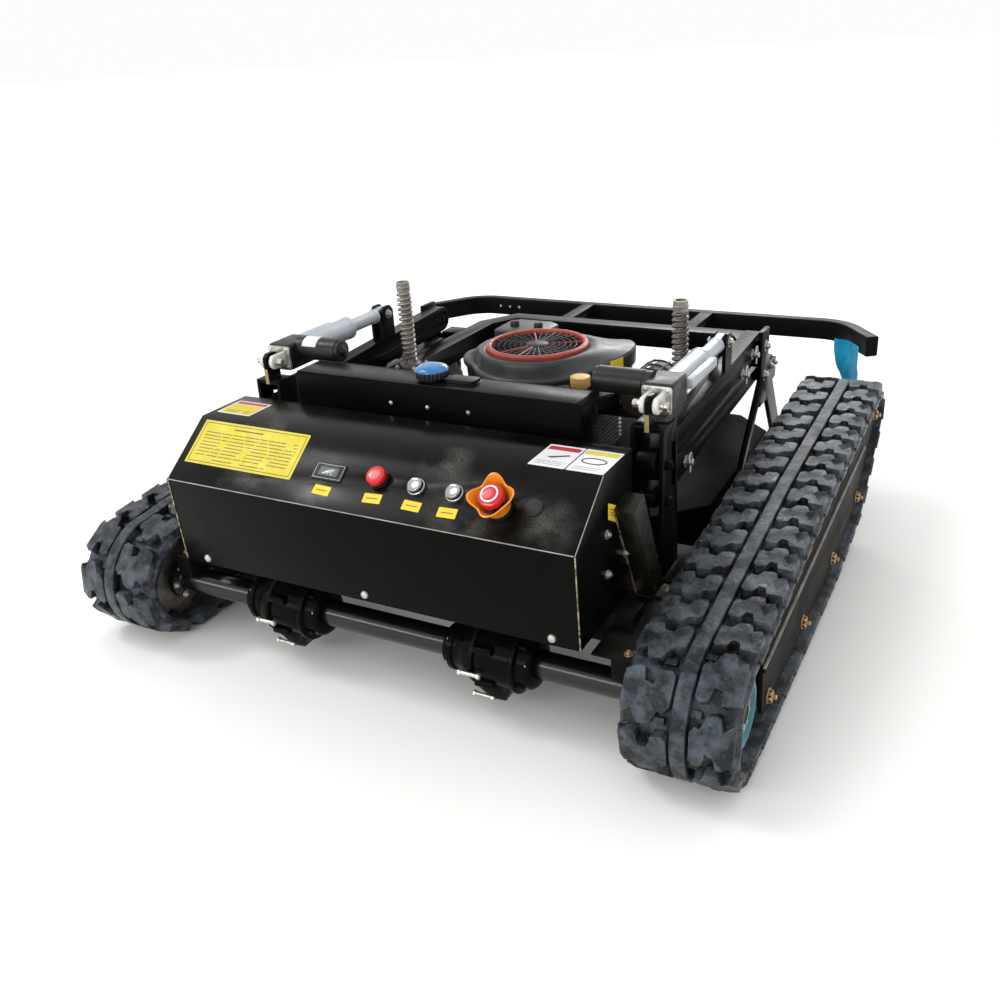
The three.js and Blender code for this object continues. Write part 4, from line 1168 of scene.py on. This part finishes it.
def spring_pieces(name, side):
    """A coil spring round its post, under a ribbed cap."""
    x, y = side * POST[0], POST[1]
    look = PALE_SPRING if side < 0 else DARK_SPRING
    low, high, coils = 332, 462, 14
    coil_radius, wire, points = 11.2, 3.1, 16  # points: in one turn
    steps = coils * points
    path = [(*around((x, y), coil_radius, 2 * math.pi * k / points), low + (high - low) * k / steps)
            for k in range(steps + 1)]
    build(f"spring_{name}_coil", Shape().tube(path, wire, 10), look, "deck", (f"spring_{name}",))
    post = [(0, 321), (20, 321), (20, 327), (9, 327.5), (8, 329), (8, 464), (12.4, 464), (12.4, 470),
            (13.4, 471), (13.4, 473), (12.4, 474), (12.4, 481), (11.6, 482), (9.4, 482), (9.0, 474),
            (0, 474)]
    build(f"spring_post_{name}_turned", Shape().turned("z", (x, y), post, 36), PALE_SPRING, "deck",
          (f"spring_post_{name}",))
    bolts = Shape()
    for dx, dy in ((-21, -21), (21, -21), (21, 21), (-21, 21)):
        bolts.join(bolt("z", (x + dx * 0.9 - side * 2, y + dy), 321, 1, 7, 4))
    build(f"spring_pad_bolts_{name}", bolts, ZINC, "deck")


BUMPER = {"y": (1060, 1085), "z": (275, 315), "bend": 90, "turn": 54.7, "tip": (503, 969),
          "tie": (126, 154), "tie_start": 943.4}


def bumper_path(side):
    """The middle line of half the bumper, from the centre to a cut end."""
    y = (BUMPER["y"][0] + BUMPER["y"][1]) / 2
    turn = math.radians(BUMPER["turn"])
    tip_x, tip_y = BUMPER["tip"]
    run = y - tip_y - BUMPER["bend"] * (1 - math.cos(turn))
    tail = run / math.sin(turn)
    start = tip_x - tail * math.cos(turn) - BUMPER["bend"] * math.sin(turn)
    points = [(x, y, 0) for x in (0, start * 0.5)]
    for k in range(11):
        a = turn * k / 10
        points.append((start + BUMPER["bend"] * math.sin(a), y - BUMPER["bend"] * (1 - math.cos(a)), a))
    end_x, end_y, _ = points[-1]
    points.append((end_x + tail * math.cos(turn), end_y - tail * math.sin(turn), turn))
    return [(side * x, v, side * a) for x, v, a in points]


def bumper_pieces():
    """A box-section rail bent round at both ends, with two ties to the deck frame."""
    half = (BUMPER["y"][1] - BUMPER["y"][0]) / 2
    path = bumper_path(-1)[::-1] + bumper_path(1)[1:]
    rows = []
    for x, y, turn in path:
        rows.append([(x + v * math.sin(turn), y + v * math.cos(turn), z)
                     for v, z in rounded((-half, half), BUMPER["z"], 3.2, 3)])
    rail = Shape().loft(rows)
    for _, side in SIDES:
        x = mirrored(side, *BUMPER["tie"])
        rail.prism("y", rounded(x, (300.5, 314.8), 2, 3), (BUMPER["tie_start"], BUMPER["y"][0] + 1))
    build("bumper_rail", rail, DUSTY_SHEEN, "deck", ("bumper",), 0.5, 1)
    holes = Shape()
    for x in (-370, -345, -320):
        holes.rod("y", (x, 296), 3.0, (BUMPER["y"][0] - 0.5, BUMPER["y"][0] + 1), 16, 0.2)
    build("bumper_holes", holes, ZINC, "deck")
    seams = Shape()
    for _, side in SIDES:
        for x in BUMPER["tie"]:
            for y in (BUMPER["y"][0] - 0.4, BUMPER["tie_start"] + 0.2):
                seams.tube([(side * x, y, 301), (side * x, y, 314.8)], 1.6, 8)
    build("bumper_welds", seams, DUSTY_SHEEN, "deck")


def film_piece():
    """The scrap of blue film stuck low on the inner side of the bumper near its right end."""
    width, length, stuck = 0.084, 0.080, 12
    steps = 18
    turn = math.radians(BUMPER["turn"])
    centre, top = (464, 1024), BUMPER["z"][0] + 14
    half = (BUMPER["y"][1] - BUMPER["y"][0]) / 2
    points, faces = [], []
    for i in range(steps + 1):
        for j in range(steps + 1):
            u, v = (i / steps - 0.5) * width / MM, j / steps * length / MM
            fall = max(0, v - stuck) / (length / MM - stuck)
            ripple = fall * (2.4 * math.sin(0.09 * u + 0.05 * v) + 1.3 * math.sin(0.16 * v + 0.09 * u))
            heading = turn * min(1, max(0.45, 0.84 + 0.012 * u))
            out = half + 1.4 + abs(ripple) + 1.3 * fall
            along = u * (1 - 0.08 * fall) + 24 * fall * fall
            points.append(place((centre[0] + along * math.cos(heading) - out * math.sin(heading),
                                 centre[1] - along * math.sin(heading) - out * math.cos(heading), top - v)))
    for i in range(steps):
        for j in range(steps):
            a = i * (steps + 1) + j
            faces.append((a, a + 1, a + steps + 2, a + steps + 1))
    mesh = bpy.data.meshes.new("loose_film")
    mesh.from_pydata(points, [], faces)
    mesh.polygons.foreach_set("use_smooth", [True] * len(faces))
    piece = finish_piece("loose_film", mesh, FILM[0], "deck", ())


refined("deck_frame", SATIN, "deck", 1.6, 2)
refined("mower_deck", DECK, "deck", 2.2, 3)
for side_name, side_sign in SIDES:
    spring_pieces(side_name, side_sign)
bumper_pieces()
film_piece()


# ---------------------------------------------------------------- engine

def bump_at(angle, centre, width):
    """A smooth rise to 1 at an angle in degrees, down to 0 a width away."""
    away = abs((math.degrees(angle) - centre + 180) % 360 - 180) / width
    return 0.5 + 0.5 * math.cos(math.pi * min(away, 1))


def cowl_bulge(a):
    """How far the domed bulge on the right has risen."""
    return bump_at(a, 14, 62) ** 0.8


def cowl_reach(a):
    """Distance from the crankshaft to the outer wall."""
    return 117 + 58 * cowl_bulge(a) + 40 * bump_at(a, 172, 44) + 26 * bump_at(a, 95, 70)


def cowl_piece():
    """The blower cowl: a round plateau, a lobe on the left, a domed bulge on the right, and a skirt."""
    rows = []
    sections = []
    for a in angles(120):
        right = cowl_bulge(a)
        reach = cowl_reach(a)
        shoulder = 353 + 31 * right + 4 * bump_at(a, 95, 70)
        crest = 379 + 5.5 * right
        rim = 103
        slope = [(98, 380 + 3 * right), (rim, crest)]
        for t in (0.15, 0.35, 0.55, 0.75, 0.9):
            ease = t * t * (3 - 2 * t)
            slope.append((rim + (reach - 6 - rim) * t, crest + (shoulder - crest) * ease))
        edge = [(reach - 3, shoulder - 0.6), (reach - 0.6, shoulder - 3), (reach, shoulder - 7)]
        wall = [(reach - 0.5, shoulder - 12 - 18 * right), (reach - 6, shoulder - 14 - 20 * right),
                (reach - 8, 300), (reach - 10, 290), (reach - 12, 288.8)]
        section = [(13.4, 288.8), (13.4, 344), (77.6, 344), (77.6, 378.2), (90, 378.2), (94, 380)]
        sections.append((a, section + slope + edge + wall))
    for k in range(len(sections[0][1])):
        rows.append([(*around(CRANK, s[k][0], a), s[k][1]) for a, s in sections])
    return build("blower_cowl", Shape().loft(rows, closed=True), COWL, "deck", ("blower_housing",), 0.0)


def screen_pieces():
    """The red ring and the black screen with rings and ribs, some of them worn pale."""
    z = RING_Z
    ring = raised(((81.2, 0), (91.4, 0), (92, 1.5), (91, 6.5), (88, 9), (84.6, 9.4), (82, 8), (81.2, 5)), z)
    build("guard_ring", Shape().turned("z", CRANK, ring, 96), RED_RING, "deck", ("fan_guard",))
    boss = raised(((0, 0.8), (19, 0.8), (20, 2), (20, 5.2), (18.5, 6.4), (0, 6.8)), z)
    screen = Shape().turned("z", CRANK, boss, 40)
    for radius in (30, 40, 50, 60, 70):
        screen.tube(round_path(CRANK, radius, z + 4, 64), 1.0, 6, closed=True)
    pale = Shape()
    for k, a in enumerate(angles(36)):
        thick = 1.5 if k % 3 == 0 else 0.8
        target = pale if k in (3, 12, 24, 27) else screen
        target.tube([(*around(CRANK, r, a), z + 4.4) for r in (18, 82)], thick, 6)
    build("guard_screen", screen, PLASTIC, "deck")
    build("guard_pale_ribs", pale, RED_RING, "deck")


def engine_trim():
    """Oil cap, a short filler duct, labels on the cowl, and the wire guard over the muffler."""
    low = span("oil_cap", 2)[0]
    knob = Shape().prism("z", knurled(OIL_CAP, 17, 15.9), (low, low + 17))
    build("oil_cap_knob", knob, YELLOW_CAP, "oil_cap", ("oil_cap",), 0.8, 2)
    start, end = Vector((147, 458, 372)), Vector((166, 440, 330))
    rows = []
    for t, radius in ((0, 7), (0.04, 8.5), (0.4, 10), (0.9, 12.5), (1, 12.5)):
        centre = start.lerp(end, t)
        heading = (end - start).normalized()
        across = heading.cross(Vector((0, 0, 1))).normalized()
        up = across.cross(heading)
        rows.append([centre + radius * (across * math.cos(a) + up * math.sin(a))
                     for a in angles(28)])
    build("filler_duct", Shape().loft(rows), DUCT, "deck", (), 0.6, 2)
    label_pieces_on_cowl()
    hoops = Shape()
    guard_line, guard_radius = (208, 318), 37
    for y in (478, 503, 528, 553, 578):
        hoops.tube([(u, y, w) for u, w in arc(guard_line, guard_radius, -20, 200, 20)], 2.0, 8)
    for t in (20, 65, 110, 155):
        u, w = around(guard_line, guard_radius, math.radians(t))
        hoops.tube([(u, 470, w), (u, 586, w)], 1.8, 8)
    build("muffler_guard", hoops, PLASTIC, "deck")


def on_cowl(angle, height, lift):
    """A point on the outer wall of the cowl."""
    a = math.radians(angle)
    return (*around(CRANK, cowl_reach(a) + lift, a), height)


def label_pieces_on_cowl():
    """A slanting orange label and a pale plate below it, both bent round the cowl."""
    orange = ((357, 0.4), (374, 0.4), (374, -0.6), (357, -0.6))
    pale = ((326, -5.2), (344, -4.6), (344, -7), (326, -8))
    for name, look, bearings, rise, section in (
            ("cowl_label", ORANGE_LABEL, (-12, -9, -6, -3), 0.35, orange),
            ("cowl_plate", WHITE_LABEL, (-50, -46, -42, -38), 0, pale)):
        rows = [[on_cowl(angle, height + (angle - bearings[0]) * rise, lift) for height, lift in section]
                for angle in bearings]
        build(name, Shape().loft(rows), look, "deck")


def engine_pieces():
    refined("engine_block", ALLOY, "deck", 2.0, 3)
    refined("air_cleaner", COWL, "deck", 5.0, 4)
    refined("muffler", MUFFLER, "deck", 2.4, 3)
    turning = (("cooling_fan", PLASTIC, 0.6), ("crankshaft", STEEL, 0.5), ("mower_blade", STEEL, 1.0))
    for node, look, bevel in turning:
        refined(node, look, "crank", bevel)
    fins = Shape()
    for z in range(180, 284, 8):
        fins.prism("z", rounded((-111, 111), (434, 646), 12), (z, z + 2.4))
    fins.block((-40, 40), (434, 446), (176, 286))
    build("engine_fins", fins, ALLOY, "deck", (), 0.4)
    knobs = Shape()
    for x, y in ((-140, 700), (-88, 700)):
        knobs.join(Shape().turned("z", (x, y), ((0, 360), (9, 360), (9, 366), (7, 369), (0, 369.6)), 24))
    build("air_cleaner_knobs", knobs, PLASTIC, "deck")
    cowl_piece()
    screen_pieces()
    engine_trim()


engine_pieces()


# ---------------------------------------------------------------- floor, lights and camera

def stage_pieces():
    mesh = bpy.data.meshes.new("floor")
    reach = 60
    mesh.from_pydata([(-reach, -reach, 0), (reach, -reach, 0), (reach, reach, 0), (-reach, reach, 0)], [],
                     [(0, 1, 2, 3)])
    floor = bpy.data.objects.new("floor", mesh)
    bpy.context.scene.collection.objects.link(floor)
    pale = Nodes("floor_white")
    pale.set(Base_Color=(0.91, 0.91, 0.90), Roughness=0.9, Specular_IOR_Level=0)
    floor.data.materials.append(pale.material)


def placed(data, heading):
    """Puts a lamp into the scene, shining along a heading."""
    lamp = bpy.data.objects.new(data.name, data)
    bpy.context.scene.collection.objects.link(lamp)
    lamp.rotation_euler = Vector(heading).to_track_quat("-Z", "Y").to_euler()
    return lamp


def area_light(name, position, target, size, power):
    data = bpy.data.lights.new(name, "AREA")
    data.shape = "RECTANGLE"
    data.size, data.size_y = size
    data.energy = power
    lamp = placed(data, Vector(target) - Vector(position))
    lamp.location = position
    lamp.visible_camera = False


def sun_light():
    """A soft sun from the left front, high enough to shine back from the panel."""
    data = bpy.data.lights.new("sun", "SUN")
    data.energy = 0.5
    data.angle = math.radians(22)
    placed(data, (0.564, 0.177, -0.806))


def world_light():
    """An even white studio."""
    world = bpy.data.worlds.new("studio")
    bpy.context.scene.world = world
    world.use_nodes = True
    background = world.node_tree.nodes["Background"]
    background.inputs["Color"].default_value = (1.0, 1.0, 0.985, 1)
    background.inputs["Strength"].default_value = 0.98


CAMERA = {"place": (783.5, -1012.3, 877.1), "yaw": 28.513, "pitch": 23.881, "roll": 3.274,
          "lens": 35.94, "shift": (-0.0211, -0.0170)}


def camera():
    yaw, pitch, roll = (math.radians(CAMERA[key]) for key in ("yaw", "pitch", "roll"))
    forward = Vector((-math.sin(yaw) * math.cos(pitch), math.cos(yaw) * math.cos(pitch), -math.sin(pitch)))
    level = Vector((math.cos(yaw), math.sin(yaw), 0))
    down = forward.cross(level)
    right = math.cos(roll) * level + math.sin(roll) * down
    up = math.sin(roll) * level - math.cos(roll) * down
    data = bpy.data.cameras.new("camera")
    data.sensor_width = 36
    data.lens = CAMERA["lens"]
    data.shift_x, data.shift_y = CAMERA["shift"]
    data.clip_start = 0.05
    eye = bpy.data.objects.new("camera", data)
    bpy.context.scene.collection.objects.link(eye)
    turn = Matrix((right, up, -forward)).transposed()
    eye.matrix_world = Matrix.Translation(place(CAMERA["place"])) @ turn.to_4x4()
    bpy.context.scene.camera = eye


stage_pieces()
world_light()
sun_light()
area_light("left_box", (-2.2, -0.9, 2.58), (-0.23, -0.47, 0.37), (0.5, 0.4), 12)
area_light("front_strip", (-0.6, -3.2, 1.3), (0, -0.4, 0.2), (3.2, 0.35), 36)
area_light("back_box", (-0.4, 3.6, 1.9), (0.2, 0, 0.3), (2.2, 0.6), 50)
camera()
bpy.context.scene.view_settings.view_transform = "Standard"
